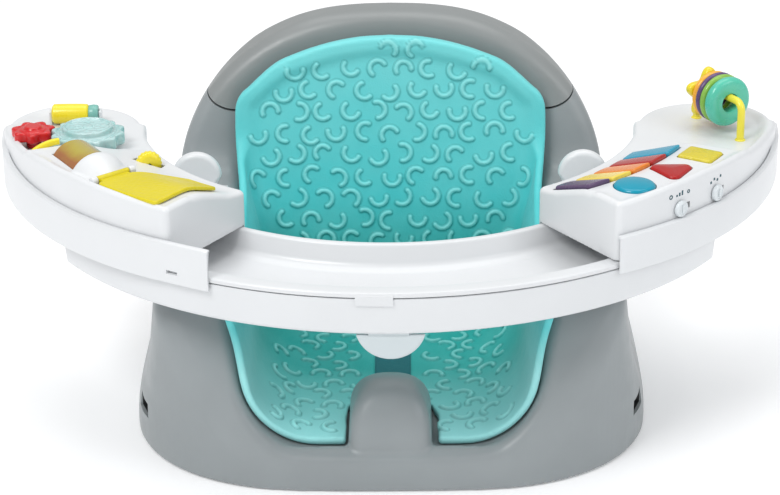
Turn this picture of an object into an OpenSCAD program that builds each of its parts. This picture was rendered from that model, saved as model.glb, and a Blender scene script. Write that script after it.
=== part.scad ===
// Baby floor seat with a lift-off crescent tray and two sliding toy pods.
// Millimetres. X runs across the seat, Y runs from front to back, Z is up.
// The origin is under the middle of the whole object, on the floor.

/* [Seat] */
// Half width of the seat base at the floor
base_a = 204; // [202:1:206]
// Half depth of the seat base at the floor
base_b = 190; // [188:1:192]
// Height of the top of the backrest
seat_h = 273.8; // [272:0.1:275]
// Wall thickness of the hollow seat shell
wall = 4; // [3.5:0.5:4.5]
// Height of the armrests that carry the tray
arm_z = 143.6; // [143:0.1:143.7]
// Thickness of the foam liner
pad_t = 7; // [6:0.5:8]

/* [Tray] */
// Distance of the tray's arc centre behind the middle of the base
arc_y = 75; // [74:1:76]
// Radius of the tray's inner edge
tray_ri = 203; // [202.5:0.5:203.5]
// Outer radius of the tray's rim
tray_ro = 297.5; // [297:0.25:297.5]
// Half angle that the tray spans about its arc centre
tray_half = 56.5; // [56:0.5:57.5]
// Height of the tray band's lower edge
band_z = 144; // [143.8:0.1:144.5]
// Height of the tray's rim
rim_z = 178; // [177.8:0.1:178.2]

/* [Toy pods] */
// Angle of the piano pod's end wall at rest
piano_a = 33.9; // [33:0.1:35]
// Angle of the gear pod's end wall at rest
gear_a = 32.4; // [32:0.1:34]
// Height of the flat tops of the pods
pod_z = 222.5; // [221.5:0.5:223.5]
// Height of the round far ends of the pods
deck_z = 207; // [206:0.5:207.5]
// Thickness of the moulded pod walls
pod_t = 2.5; // [2.2:0.1:2.6]

/* [Bead bar] */
// Diameter of the bent rod
rod_d = 6; // [5.5:0.5:6]
// Height of the rod's straight top
rod_z = 237.5; // [237:0.5:239]

/* [Hidden] */

// the whole object is centred front to back by this shift
y_off = 19;
grey = [0.60, 0.62, 0.62];
teal = [0.35, 0.80, 0.78];
white = [0.95, 0.95, 0.95];
yellow = [0.97, 0.85, 0.15];
$fn = 96;

module put() translate([0, y_off, 0]) children();
// a point at radius r and angle a from straight ahead, about the tray's arc centre
function arc_pt(r, a, z = 0) = [r * sin(a), arc_y - r * cos(a), z];
// a turned ring from angle a0 to a1 about the arc centre; p is its (radius, height) section
module ring(a0, a1, p) translate([0, arc_y, 0]) rotate([0, 0, a0 - 90])
  rotate_extrude(angle = a1 - a0, $fn = 180) polygon(p);
// children stand at radius r, angle a, with their X axis pointing outward
module at_arc(r, a, z = 0) translate(arc_pt(r, a, z)) rotate([0, 0, a - 90]) children();
module left() mirror([1, 0, 0]) children();

// ---------- seat ----------
function super(a, b, n, k) = [for (i = [0 : k - 1]) let (t = 360 * i / k, c = cos(t), s = sin(t))
  [a * sign(c) * pow(abs(c), 2 / n), b * sign(s) * pow(abs(s), 2 / n)]];
// outline of the seat seen from the front, drawn in by t
function front_half(t) = concat(
  [[base_a - 1 - t, -1], [base_a - t, 8], [base_a - 2 - t, 20], [base_a - 7 - t, 36], [base_a - 14 - t, 52], [base_a - 19.5 - t, 90]],
  [for (a = [2 : 8 : 90]) [(177.6 - t) * pow(cos(a), 0.976), seat_h - 142.3 + (142.3 - t) * pow(sin(a), 0.976)]]);
function mirror_half(h) = concat(h, [for (i = [len(h) - 1 : -1 : 0]) if (abs(h[i][0]) > 0.01) [-h[i][0], h[i][1]]]);
module front_prism(h, y0, y1) translate([0, y1, 0]) rotate([90, 0, 0]) linear_extrude(y1 - y0) polygon(mirror_half(h));
module side_prism(p, x0, x1) translate([x0, 0, 0]) rotate([90, 0, 90]) linear_extrude(x1 - x0) polygon(p);

// outline of the seat seen from the side (depth, height)
function side_out(t) = [
  [-base_b + t, -1], [-base_b - 1 + t, 12], [-base_b + 2 + t, 24], [-base_b + 9 + t, 34 - t / 2],
  [-170 + t, 62], [-158 + t, 92], [-144 + t, 118 - t / 2], [-128 + t, 134 - t], [-112 + t, arm_z - t],
  [96 + t, arm_z - t], [111 + t, 156], [141 + t, seat_h - 8], [148 + t, seat_h + 1 - t], [176 - t, seat_h + 1 - t],
  [181 - t, seat_h - 12], [180 - t, 200], [181 - t, 90], [183 - t, 36], [base_b - 5 - t, 14], [base_b - 5 - t, -1]];
module seat_body(t) intersection() {
  front_prism(front_half(t), -260, 260);
  side_prism(side_out(t), -260, 260);
  translate([0, 0, 1.2 - 3 * t]) linear_extrude(400) polygon(super(base_a + 0.5 - t, base_b + 1 - t, 2.9, 60));
}
// outline of the well that the child sits in, seen from the front, drawn in by t
function well_half(t) = concat(
  [for (a = [-90 : 10.5 : -6]) [52 + (61 - t) * cos(a), 87 + (61 - t) * sin(a)]],
  [[117.5 - t, 112], [124.5 - t, 140], [129.6 - t, 170]],
  [for (a = [2 : 11 : 57]) [107.6 + (22.2 - t) * cos(a), 196 + (22.2 - t) * sin(a)]],
  [for (a = [64 : 6.5 : 90]) [(217.6 - t) * cos(a), 39.5 + (217.6 - t) * sin(a)]]);
// front edge and back wall of the well seen from the side; b moves the back wall
function side_well(y0, b, z0) = concat(y0 < -171 ? [[y0, z0 + 6], [-171, z0 + 6], [-167, z0]] : [[y0, z0]], [[72 + b, z0], [84 + b, 46], [95 + b, 100], [134 + b, 256], [155 + b, 320], [y0, 320]]);
module well(t, y0, b, z0) intersection() {
  front_prism(well_half(t), -260, 260);
  side_prism(side_well(y0, b, z0), -260, 260);
}
// the pommel between the legs, seen from the front and from the side
module pommel(t, drop = 0) intersection() {
  front_prism([[32 - t, 20 - drop], [31 - t, 38], [29.8 - t, 50], [26.8 - t * 0.8, 60 - t * 0.5], [21.5 - t * 0.6, 69 - t * 0.8], [13, 76 - t], [3, 78.8 - t]], -260, 0);
  side_prism([[-181 + t, 20 - drop], [-178.6 + t, 42], [-174.4 + t, 56], [-167 + t, 68], [-158, 77.5 - t], [-148, 80.5 - t],
    [-137, 77 - t], [-126 - t, 66], [-115 - t, 50], [-106.5 - t, 34], [-101 - t, 20 - drop]], -60, 60);
}
// where the two arch screws of one side stand
arch_at = [[147, 150], [126, 160]];
// ribs and screw posts left standing in the hollow
module ribs() {
  for (m = [0, 1]) mirror([m, 0, 0]) {
    for (y = [-80, 90]) {
      translate([100, y - 1.2, 4.6]) cube([120, 2.4, 56]);
      translate([160, y, 4.6]) cylinder(r = 6, h = 46, $fn = 12);
    }
    for (p = arch_at) {
      translate([110, p[1] - 1.2, 176.3]) cube([80, 2.4, 44]);
      translate([p[0], p[1], 178.2]) cylinder(r = 4.6, h = 36, $fn = 12);
    }
    translate([60, 150, 4.6]) cylinder(r = 6, h = 34, $fn = 12);
  }
  translate([-220, 148.8, 4.6]) cube([440, 2.4, 40]);
}
module screw_holes() {
  for (x = [-160, 160], y = [-80, 90]) translate([x, y, 3]) cylinder(r = 1.9, h = 20, $fn = 12);
  for (x = [-60, 60]) translate([x, 150, 3]) cylinder(r = 1.9, h = 20, $fn = 12);
  for (m = [-1, 1], p = arch_at) translate([m * p[0], p[1], 175.4]) { cylinder(r = 1.8, h = 31.6, $fn = 12); cylinder(r = 3.6, h = 2.74, $fn = 12); }
}
module shell_full() difference() {
  union() {
    difference() {
      seat_body(0);
      well(0, -300, 0, 26);
      // hollow inside, open underneath
      difference() {
        seat_body(wall);
        well(-wall, -320, wall, 26 - wall);
        ribs();
      }
    }
    pommel(0);
  }
  pommel(wall, 25);
  screw_holes();
  // strap slots straight through both sides
  for (m = [0, 1]) mirror([m, 0, 0]) translate([192, -98, 30]) cube([40, 24, 13], center = true);
}
// everything above the seam belongs to the separate upper arch
module above_seam(d) front_prism([[60, 192 + d], [100, 192 + d], [129, 192.5 + d], [141, 195.5 + d], [150, 201.5 + d], [157, 210.5 + d], [240, 215 + d], [240, 400]], -260, 260);

module seat_shell() put() color(grey) difference() { shell_full(); above_seam(-0.15); }
module backrest_arch() put() color(grey * 1.03) intersection() { shell_full(); above_seam(0.15); }

module base_plate() put() color(grey * 0.8) difference() {
  translate([0, 0, 1.5]) linear_extrude(3) polygon(super(base_a - wall - 1.5, base_b - wall - 1.5, 2.9, 72));
  for (x = [-160, 160], y = [-80, 90]) translate([x, y, 0]) cylinder(r = 2.2, h = 10);
  for (x = [-60, 60]) translate([x, 150, 0]) cylinder(r = 2.2, h = 10);
  for (x = [-130, 130], y = [-120, 120]) translate([x, y, 0]) cylinder(r = 7.05, h = 10);
  for (y = [-165, 172]) translate([0, y, 0]) cylinder(r = 7.05, h = 10);
  // straight edge inside the back wall
  translate([-120, 180.4, 0]) cube([240, 30, 10]);
}
// six pads with a wide foot below the plate and a plug through it
module rubber_feet() put() color([0.2, 0.2, 0.2]) {
  for (p = [[-130, -120], [130, -120], [-130, 120], [130, 120], [0, -165], [0, 172]]) translate([p[0], p[1], 0]) {
    rotate_extrude() polygon([[0, 0], [11, 0], [12, 1.12], [7, 1.12], [7, 4.6], [8.4, 4.7], [6.4, 8], [0, 8]]);
  }
}
module screw(l, r = 1.8, hr = 3.4) { translate([0, 0, -2]) cylinder(r = hr, h = 2); cylinder(r = r, h = l); }
module base_screws() put() color([0.7, 0.7, 0.72]) {
  for (x = [-160, 160], y = [-80, 90]) translate([x, y, 1.4]) { cylinder(r = 1.8, h = 14); translate([0, 0, -0.9]) cylinder(r = 3.6, h = 1); }
  for (x = [-60, 60]) translate([x, 150, 1.4]) { cylinder(r = 1.8, h = 14); translate([0, 0, -0.9]) cylinder(r = 3.6, h = 1); }
}
// four screws up through the seam from the shell into the arch
module arch_screws() put() color([0.7, 0.7, 0.72])
  for (m = [-1, 1], p = arch_at) translate([m * p[0], p[1], 178.1]) { cylinder(r = 1.7, h = 26); translate([0, 0, -2]) cylinder(r = 3.3, h = 2); }

// foam liner: a back panel, a seat that turns up at the sides, and a gap for the pommel
module foam_liner() put() color(teal) difference() {
  well(0.6, -166, -0.6, 26.6);
  intersection() {
    well(0.6 + pad_t, -400, -0.6 - pad_t * 1.1, 26.6 + pad_t);
    translate([-200, -400, 0]) cube([400, 800, 600]);
  }
  pommel(-1, 2);
  translate([0, 0, 0]) linear_extrude(300) polygon([[-32.4, -200], [36.2, -200], [35.6, -120], [18, -100], [-14, -100], [-31.6, -120]]);
  // the side wings slope down from the backrest to the leg openings
  side_prism([[-300, 134], [-118, 134], [20, 137], [62, 146], [88, 160], [106.5, 174.5], [127, 256], [140, 400], [-300, 400]], -300, 300);
}

// ---------- tray ----------
module tray_top() put() color(white) {
  difference() {
    ring(-tray_half, tray_half, [[tray_ro, rim_z - 3.5], [tray_ro, rim_z - 1.5], [tray_ro - 1.5, rim_z], [284.5, rim_z],
      [280.5, 163], [277, 160.5], [221, 160.5], [214, 164], [209, rim_z], [tray_ri + 1.2, rim_z], [tray_ri, rim_z - 1.2], [tray_ri, 171.7],
      [221, 158], [277, 158]]);
    // hollow under the inner and the outer rim
    ring(-tray_half + 0.6, tray_half - 0.6, [[tray_ri + 2.6, 150], [tray_ri + 2.6, rim_z - 2.4], [207.2, rim_z - 2.4], [212, 162.4], [219.6, 157.9], [219.6, 150]]);
    ring(-tray_half + 0.6, tray_half - 0.6, [[278.4, 150], [278.4, 158.3], [282.8, 161.2], [286.6, rim_z - 2.4], [294, rim_z - 2.4], [294, 150]]);
  }
  // small snap tab in the lip, left of the middle
  ring(-4.5, 0.65, [[tray_ro - 0.42, 168.5], [tray_ro + 0.5, 168.5], [tray_ro + 0.5, rim_z - 2], [tray_ro - 0.42, rim_z - 2]]);
}
module tray_base() put() color(white * 0.98) difference() {
  union() {
    difference() {
      ring(-tray_half, tray_half, [[293.8, band_z + 0.8], [294.6, band_z + 3], [296.9, rim_z - 4.4], [277, 157.5], [221, 157.5], [203.8, 170.7], [206, band_z + 0.8], [207, band_z], [292.8, band_z]]);
      ring(-tray_half + 0.6, tray_half - 0.6, [[292.2, band_z + 2.6], [294.2, 176], [206.2, 176], [208.6, band_z + 2.6]]);
    }
    // screw posts up to the tray floor
    for (a = [-48, -22, 22, 48]) at_arc(248, a, band_z + 1) cylinder(r = 4.5, h = 157.8 - band_z - 1);
    // arms that reach back to the latches
    for (m = [0, 1]) mirror([m, 0, 0]) difference() {
      translate([129, -95, band_z + 0.3]) cube([46, 109, 23.7]);
      translate([133.6, -8.6, band_z - 1]) cube([37.2, 20, 40]);
      translate([120, 1, 156]) rotate([0, 90, 0]) cylinder(r = 2.05, h = 60);
      translate([0, arc_y, 0]) rotate_extrude($fn = 180) polygon([[205.2, 100], [400, 100], [400, 200], [205.2, 200]]);
    }
    // guide for the release tab behind the band
    translate([-19, -214, band_z + 1]) cube([38, 25, 8]);
  }
  // slot of the release tab, and the pocket that its spring sits in
  translate([-15.3, -218, band_z - 2]) cube([30.6, 10.2, 6.4]);
  translate([-15.3, -218, band_z + 2.2]) cube([30.6, 19.9, 4.4]);
  for (a = [-48, -22, 22, 48]) at_arc(248, a, band_z - 1) { cylinder(r = 1.9, h = 20); cylinder(r = 3.5, h = 3); }
}
module tray_screws() put() color([0.7, 0.7, 0.72])
  for (a = [-48, -22, 22, 48]) at_arc(248, a, band_z + 0.1) { cylinder(r = 3.3, h = 1.8); cylinder(r = 1.7, h = 12.5); }
// half-round pull tab under the middle of the band
module release_tab() put() color(white) {
  intersection() {
    translate([1.4, -213.2, 149.6]) rotate([90, 0, 0]) cylinder(r = 25.6, h = 4.2);
    translate([-40, -230, 120]) cube([80, 40, band_z - 0.5 - 120]);
  }
  translate([-14.8, -217.4, band_z - 1]) cube([29.6, 4.2, 5]);
  translate([-14.8, -217.4, band_z + 3]) cube([29.6, 9.4, 2.8]);
}
module release_spring() put() color([0.7, 0.7, 0.72]) translate([0, -198.2, band_z + 4.4]) rotate([90, 0, 0]) difference() {
  cylinder(r = 1.9, h = 4.5); translate([0, 0, -1]) cylinder(r = 1.2, h = 7);
}
// rounded latch ear on its pin; the finger plate stands up beside the seat
module latch(m) put() mirror([m, 0, 0]) color(white) difference() {
  union() {
    intersection() {
      translate([152.2, 6.6, 181.6]) rotate([90, 0, 0]) cylinder(r = 19.4, h = 11.2);
      translate([100, -20, 179]) cube([100, 40, 40]);
    }
    translate([134.1, -4.6, 149]) cube([36.2, 11.2, 33]);
    translate([134.1, 1, 156]) rotate([0, 90, 0]) cylinder(r = 6.5, h = 36.2);
  }
  translate([120, 1, 156]) rotate([0, 90, 0]) cylinder(r = 2.06, h = 60);
  translate([145.5, 1, 156]) rotate([0, 90, 0]) cylinder(r = 4.6, h = 8);
}
module latch_left() latch(1);
module latch_right() latch(0);
module latch_pins() put() color([0.7, 0.7, 0.72]) for (m = [0, 1]) mirror([m, 0, 0]) translate([129.3, 1, 156]) rotate([0, 90, 0]) cylinder(r = 2, h = 45.4);
// a small coil round each latch pin, drawn as a sleeve
module latch_springs() put() color([0.6, 0.6, 0.62]) for (m = [0, 1]) mirror([m, 0, 0]) translate([146, 1, 156]) rotate([0, 90, 0]) difference() {
  cylinder(r = 3.6, h = 7); translate([0, 0, -1]) cylinder(r = 2.3, h = 9);
}

// ---------- pods, drawn on the right ----------
out_x = 22; out_y = 78; out_r = 287; skirt_r = 292; pod_ri = 199.8;
cap_a = 82.7; cap_r = 52.7;
module pod_plan(t, z0, z1, a0) {
  difference() {
    intersection() {
      translate([out_x, out_y, z0]) cylinder(r = out_r - t, h = z1 - z0, $fn = 180);
      ring(a0 + asin(t / 250), cap_a - (t > 0 ? 3.2 : 0), [[150, z0], [400, z0], [400, z1], [150, z1]]);
    }
    translate([0, arc_y, z0 - 1]) cylinder(r = pod_ri + t, h = z1 - z0 + 2, $fn = 180);
  }
  // the round end reaches a little lower than the walls
  translate(arc_pt(254.1, cap_a, z0 - (t > 0 ? 0 : 0.5))) cylinder(r = cap_r - t, h = z1 - z0 + (t > 0 ? 0 : 0.5));
}
function surf(r) = 205 + (r - 206) * (pod_z - 205) / 51;
function block_sec(t) = [[150, 150], [400, 150], [400, pod_z - t], [257, pod_z - t], [206, 205 - t], [190, surf(190) - t], [150, surf(190) - t]];
function deck_sec(t) = [[150, 150], [400, 150], [400, deck_z - t], [150, deck_z - t]];
// hollow (t > 0) or outer (t = 0) form of a pod; cr is the radius of a round recess for the big gear
module pod_solid(t, z0, a0, a1, cr) intersection() {
  pod_plan(t, z0, 260, a0);
  union() {
    difference() {
      ring(a0 - 2, a1 - (t > 0 ? asin(t / 250) : 0), block_sec(t));
      if (cr > 0) translate([big_c[0], big_c[1], 100]) cylinder(r = cr + t, h = 200);
    }
    ring(a1 - 2, 112, deck_sec(t));
    if (cr > 0) intersection() {
      ring(a1 - 12, 112, deck_sec(t));
      translate([big_c[0], big_c[1], 100]) cylinder(r = cr + t + 0.3, h = 200);
    }
  }
}
module pod_shell(a0, a1, skirt_z, skirt_a, cr = 0) {
  difference() {
    pod_solid(0, 179, a0, a1, cr);
    pod_solid(pod_t, 170, a0, a1, cr);
  }
  // inner lip that hangs over the tray's inner edge
  intersection() {
    ring(a0 + 0.4, 74, [[pod_ri + 0.3, 175.6], [201.9, 175.6], [201.9, 179.6], [pod_ri + 0.3, 179.6]]);
    pod_plan(0, 170, 190, a0);
  }
  // ledge and skirt over the tray's outer rim
  difference() {
    intersection() {
      translate([out_x, out_y, skirt_z]) cylinder(r = skirt_r, h = 200 - skirt_z, $fn = 180);
      ring(a0, 88, [[240, 150], [400, 150], [400, 250], [240, 250]]);
    }
    translate([out_x, out_y, skirt_z - 1]) cylinder(r = skirt_r - pod_t, h = 198.5 - skirt_z, $fn = 180);
    translate([out_x, out_y, skirt_z - 1]) cylinder(r = out_r - 0.4, h = 60, $fn = 180);
    ring(a0 - 1, 120, [[100, 150], [298.2, 150], [298.2, 183], [100, 183]]);
  }
  // the skirt may run on past the end wall
  if (skirt_a < a0) ring(skirt_a, a0 + 6, [[298.3, skirt_z + 0.4], [300.8, skirt_z + 0.4], [300.8, 198.7], [299.8, 199.7], [296, 199.7], [296, 197.7], [298.3, 197.7]]);
}
module pod_floor(a0) {
  difference() {
    pod_plan(pod_t + 0.1, 179, 181.4, a0);
    children();
  }
}
piano_posts = [[207.6, 38], [289.5, 36.8], [221, 68], [288, 70]];
gear_posts = [[218, 36], [284, 36], [214, 64], [216, 80]];
piano_step = 64; gear_step = 66.4;

// piano pod
key_a = [for (i = [0 : 5]) 34.9 + i * 5.2];
module key_hole() ring(key_a[0] - 0.12, key_a[5] + 0.12, [[214.3, 190], [255.4, 190], [255.4, 240], [214.3, 240]]);
module round_poly(p, r, h) linear_extrude(h) polygon(p);
// corner-rounded outline: corners p, corner radius r
function fillet(p, r, k = 5) = [for (i = [0 : len(p) - 1]) let (a = p[(i + len(p) - 1) % len(p)], b = p[i], c = p[(i + 1) % len(p)],
  u = (a - b) / norm(a - b), v = (c - b) / norm(c - b), h = acos(u * v) / 2, d = r / sin(h), m = b + (u + v) / norm(u + v) * d,
  s = atan2((b + u * (r / tan(h)) - m)[1], (b + u * (r / tan(h)) - m)[0]), e0 = atan2((b + v * (r / tan(h)) - m)[1], (b + v * (r / tan(h)) - m)[0]),
  e = e0 - s > 180 ? e0 - 360 : (e0 - s < -180 ? e0 + 360 : e0)) each [for (j = [0 : k]) let (t = s + (e - s) * j / k) m + r * [cos(t), sin(t)]]];
function tri(s) = fillet([for (a = [70.4, 190.4, 310.4]) [s * cos(a), s * sin(a)]], 5.5);
function sq(s) = fillet([[-s - 1, -s + 1], [s + 1, -s + 1], [s + 1, s - 1], [-s - 1, s - 1]], 2.5);
blue_p = [274, 41.1]; red_p = [274.8, 50]; sq_p = [276, 58.4];
module piano_pod_cover() put() color(white) difference() {
  union() {
    pod_shell(piano_a, piano_step, 171, 90);
    for (p = piano_posts) at_arc(p[0], p[1], 181.5) cylinder(r = 4, h = p[1] > 64 ? deck_z - 183 : surf(min(p[0], 257)) - 183);
    // sockets under the deck for the two ends of the bead bar
    at_bar() for (s = [0, bar_l]) translate([s, 0, 190]) cylinder(r = 6, h = 15.5);
  }
  key_hole();
  at_arc(blue_p[0], blue_p[1], 200) cylinder(r = 16, h = 40);
  at_arc(red_p[0], red_p[1], 200) linear_extrude(40) polygon(tri(23.2));
  at_arc(sq_p[0], sq_p[1], 200) linear_extrude(40) polygon(sq(13.4));
  for (p = piano_posts) at_arc(p[0], p[1], 181) cylinder(r = 1.6, h = 12);
  at_bar() for (s = [0, bar_l]) translate([s, 0, 192]) cylinder(r = rod_d / 2 + 0.02, h = 30);
  // slots of the two switches in the outer wall
  for (a = [sw1_a, sw2_a]) at_sw(a) translate([-8, 0, 0]) cube([30, 15, 5], center = true);
  // sound holes in the floor side of the inner wall
  for (i = [-2 : 2]) at_arc(200, 70 + i * 1.6, 190) rotate([0, 90, 0]) cylinder(r = 1.2, h = 12, center = true);
}
sw1_a = 46; sw2_a = 54.2;
// switch frame: X points out of the outer wall, origin on the wall's surface
function wall_r(a) = let (d = out_x * sin(a) - (out_y - arc_y) * cos(a), q = out_x * cos(a) + (out_y - arc_y) * sin(a)) d + sqrt(out_r * out_r - q * q);
function wall_n(a) = let (p = arc_pt(wall_r(a), a)) atan2(p[1] - out_y, p[0] - out_x);
module at_sw(a) translate(arc_pt(wall_r(a), a, 206.8)) rotate([0, 0, wall_n(a)]) children();
module slide_knob() {
  translate([0.4, 0, 0]) rotate([0, 90, 0]) cylinder(r = 6.2, h = 3.6);
  translate([-6.4, -2.5, -2.2]) cube([7.4, 5, 4.4]);
}
module volume_switch() put() color(white) at_sw(sw1_a) translate([0, -4, 0]) slide_knob();
module mode_switch() put() color(white) at_sw(sw2_a) translate([0, -4, 0]) slide_knob();
module piano_pod_base() put() color(white * 0.97) {
  pod_floor(piano_a) {
    for (p = piano_posts) at_arc(p[0], p[1], 170) cylinder(r = 1.9, h = 20);
    translate(door_c) rotate([0, 0, door_r]) translate([-31.5, -22.5, -30]) cube([63, 45, 60]);
  }
  // battery tray let into the floor
  translate(door_c) rotate([0, 0, door_r]) difference() {
    translate([-33.5, -24.5, -1.6]) cube([67, 49, 19.6]);
    translate([-31.5, -22.5, -3]) cube([63, 45, 19]);
  }
  // post that takes the door's screw
  translate(door_c) rotate([0, 0, door_r]) difference() {
    translate([0, 18.6, 1.2]) cylinder(r = 3.6, h = 15.6);
    translate([0, 18.6, 0]) cylinder(r = 1.6, h = 10);
  }
}
door_c = arc_pt(247, 50, 181); door_r = 50;
module piano_pod_screws() put() color([0.7, 0.7, 0.72]) for (p = piano_posts) at_arc(p[0], p[1], 178.6) { cylinder(r = 1.5, h = 12.5); cylinder(r = 3.2, h = 0.4); }
module battery_door() put() color(white * 0.94) translate(door_c) rotate([0, 0, door_r]) difference() {
  translate([-31.2, -22.2, -2]) cube([62.4, 44.4, 2.2]);
  translate([0, 18.6, -3]) cylinder(r = 1.7, h = 10);
}
module door_screw() put() color([0.7, 0.7, 0.72]) translate(door_c) rotate([0, 0, door_r]) translate([0, 18.6, -2.02]) { translate([0, 0, -0.6]) cylinder(r = 3, h = 0.6); cylinder(r = 1.55, h = 9); }
module batteries() put() color([0.2, 0.35, 0.5]) translate(door_c) rotate([0, 0, door_r]) for (y = [-14.8, 0.2]) translate([-25, y, 7.6]) rotate([0, 90, 0]) { cylinder(r = 7, h = 48.5); cylinder(r = 2.7, h = 50); }
module circuit_board() put() color([0.1, 0.45, 0.25]) difference() {
  ring(piano_a + 1.6, 61, [[221, 200.2], [289, 200.2], [289, 201.6], [221, 201.6]]);
  for (p = piano_posts) at_arc(p[0], p[1], 190) cylinder(r = 4.4, h = 20);
  for (a = [sw1_a, sw2_a]) at_sw(a) cube([20, 22, 30], center = true);
}
module speaker() put() color([0.25, 0.25, 0.27]) at_arc(231, 75.5, 181.6) { cylinder(r = 17, h = 3); cylinder(r = 11, h = 10); }
// soft contact pads on the board below each key and button
module contact_pads() put() color([0.8, 0.8, 0.78]) {
  for (i = [0 : 4]) at_arc(247, key_a[i] + 2.52, 201.6) cylinder(r1 = 4.5, r2 = 3, h = 2.6, $fn = 48);
  for (p = [blue_p, red_p, sq_p]) at_arc(p[0], p[1], 201.6) cylinder(r1 = 5.5, r2 = 4, h = 6.4, $fn = 48);
}
module piano_key(i) {
  g = 0.14;
  ring(key_a[i] + g, key_a[i + 1] - g, [[212.4, surf(212.4) - 4.6], [255, surf(255) - 4.6], [255, surf(255) + 2.2], [254, surf(254) + 3],
    [216, surf(216) + 3], [215, surf(215) + 2.3], [215, surf(215) - 3.2], [212.4, surf(212.4) - 3.2]]);
  at_arc(247, (key_a[i] + key_a[i + 1]) / 2, 206.6) cylinder(r = 2.5, h = 9);
}
module key_blue() put() color([0.15, 0.62, 0.80]) piano_key(4);
module key_red() put() color([0.85, 0.15, 0.15]) piano_key(3);
module key_orange() put() color([0.97, 0.55, 0.20]) piano_key(2);
module key_yellow() put() color(yellow) piano_key(1);
module key_purple() put() color([0.35, 0.22, 0.42]) piano_key(0);
module button_yellow() put() color(yellow) at_arc(sq_p[0], sq_p[1]) {
  translate([0, 0, pod_z - 4.4]) linear_extrude(6.4) polygon(sq(13));
  translate([-15.4, -13.4, pod_z - 4.4]) cube([30.8, 26.8, 1.4]);
  translate([0, 0, 210.6]) cylinder(r = 3, h = 8);
}
module button_red() put() color([0.8, 0.12, 0.12]) at_arc(red_p[0], red_p[1]) {
  translate([0, 0, pod_z - 4.4]) linear_extrude(6.4) polygon(tri(22.5));
  translate([0, 0, pod_z - 4.4]) linear_extrude(1.4) polygon(tri(24.4));
  translate([0, 0, 210.6]) cylinder(r = 3, h = 8);
}
module button_blue() put() color([0.0, 0.62, 0.75]) at_arc(blue_p[0], blue_p[1]) {
  translate([0, 0, pod_z - 4.4]) rotate_extrude() polygon([[0, 0], [15.6, 0], [15.6, 5.6], [13.6, 6.8], [9, 7.6], [0, 8]]);
  translate([0, 0, pod_z - 4.4]) cylinder(r = 17, h = 1.4);
  translate([0, 0, 210.6]) cylinder(r = 3, h = 8);
}
// bead bar: a bent rod with both ends let into the deck
bar_x = 275.6; bar_y = 4.7; bar_ang = 118; bar_l = 60; bend = 6.5;
module at_bar() translate([bar_x, bar_y, 0]) rotate([0, 0, bar_ang]) children();
module bead_bar() put() color(yellow) at_bar() {
  for (s = [0, bar_l]) translate([s, 0, 193]) cylinder(r = rod_d / 2, h = rod_z - bend - 193);
  translate([bend, 0, rod_z]) rotate([0, 90, 0]) cylinder(r = rod_d / 2, h = bar_l - 2 * bend);
  translate([bend, 0, rod_z - bend]) rotate([90, 0, 0]) rotate([0, 0, 90]) rotate_extrude(angle = 90) translate([bend, 0]) circle(r = rod_d / 2);
  translate([bar_l - bend, 0, rod_z - bend]) rotate([90, 0, 0]) rotate_extrude(angle = 90) translate([bend, 0]) circle(r = rod_d / 2);
}
hole_r = 7.4;
ring_drop = hole_r - rod_d / 2 - 0.05;
// a ring from s to s + w along the bar; R outside radius, e edge rounding
module bead_ring(s, w, R, e) at_bar() translate([s, 0, rod_z - ring_drop]) rotate([0, 90, 0]) rotate_extrude()
  polygon(concat([[hole_r, 0.8], [hole_r + 0.8, 0]], [for (a = [-90 : 15 : 0]) [R - e + e * cos(a), e + e * sin(a)]], [for (a = [0 : 15 : 90]) [R - e + e * cos(a), w - e + e * sin(a)]], [[hole_r + 0.8, w], [hole_r, w - 0.8]]));
module ring_teal() put() color([0.1, 0.68, 0.6]) bead_ring(15.4, 9.8, 20.4, 4.8);
module ring_lime() put() color([0.62, 0.80, 0.15]) bead_ring(25.6, 6, 20.2, 2.9);
module ring_purple() put() color([0.35, 0.22, 0.42]) bead_ring(32, 5.2, 20.2, 2.5);
module ring_orange() put() color([0.95, 0.65, 0.15]) bead_ring(37.6, 6.8, 19.4, 3.3);
module ring_star() put() color(yellow) at_bar() translate([44.8, 0, rod_z - ring_drop]) rotate([0, 90, 0]) difference() {
  linear_extrude(8) polygon([for (i = [0 : 59]) let (a = 6 * i, r = 18.4 - 3.8 * cos(5 * a)) [r * cos(a), r * sin(a)]]);
  translate([0, 0, -1]) cylinder(r = hole_r, h = 12);
}

// gear pod, drawn on the right and mirrored to the left
big_c = [235.5, -6]; red_c = [279.2, 0]; big_n = 12; red_n = 7;
pitch = norm(big_c - red_c);
big_r = pitch * big_n / (big_n + red_n); red_r = pitch * red_n / (big_n + red_n);
// a lobed gear outline; c is the clearance taken off all round
function lobes(r, n, amp, c, ph) = [for (i = [0 : n * 12 - 1]) let (a = 360 * i / (n * 12), q = r - c + amp * cos(n * (a - ph))) q * [cos(a), sin(a)]];
mesh_a = atan2(red_c[1] - big_c[1], red_c[0] - big_c[0]);
drum_r0 = 271; drum_a0 = 58.7; drum_z = 211; drum_r = 20;
// frame of the drum: X outward, Y along the drum's axis away from the middle
module at_drum() translate(arc_pt(drum_r0, drum_a0, drum_z)) rotate([0, 0, drum_a0 - 90]) children();
module along(y0, l, r, fn = 96) translate([0, y0, 0]) rotate([-90, 0, 0]) cylinder(r = r, h = l, $fn = fn);
flap_z = 223.3; flap_a0 = 34.6; flap_a1 = 46.6; hinge_a = 47.7; hinge_z = flap_z + 2.2;
wheel_z = 209.5; wheel_r = 10.5;
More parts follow.
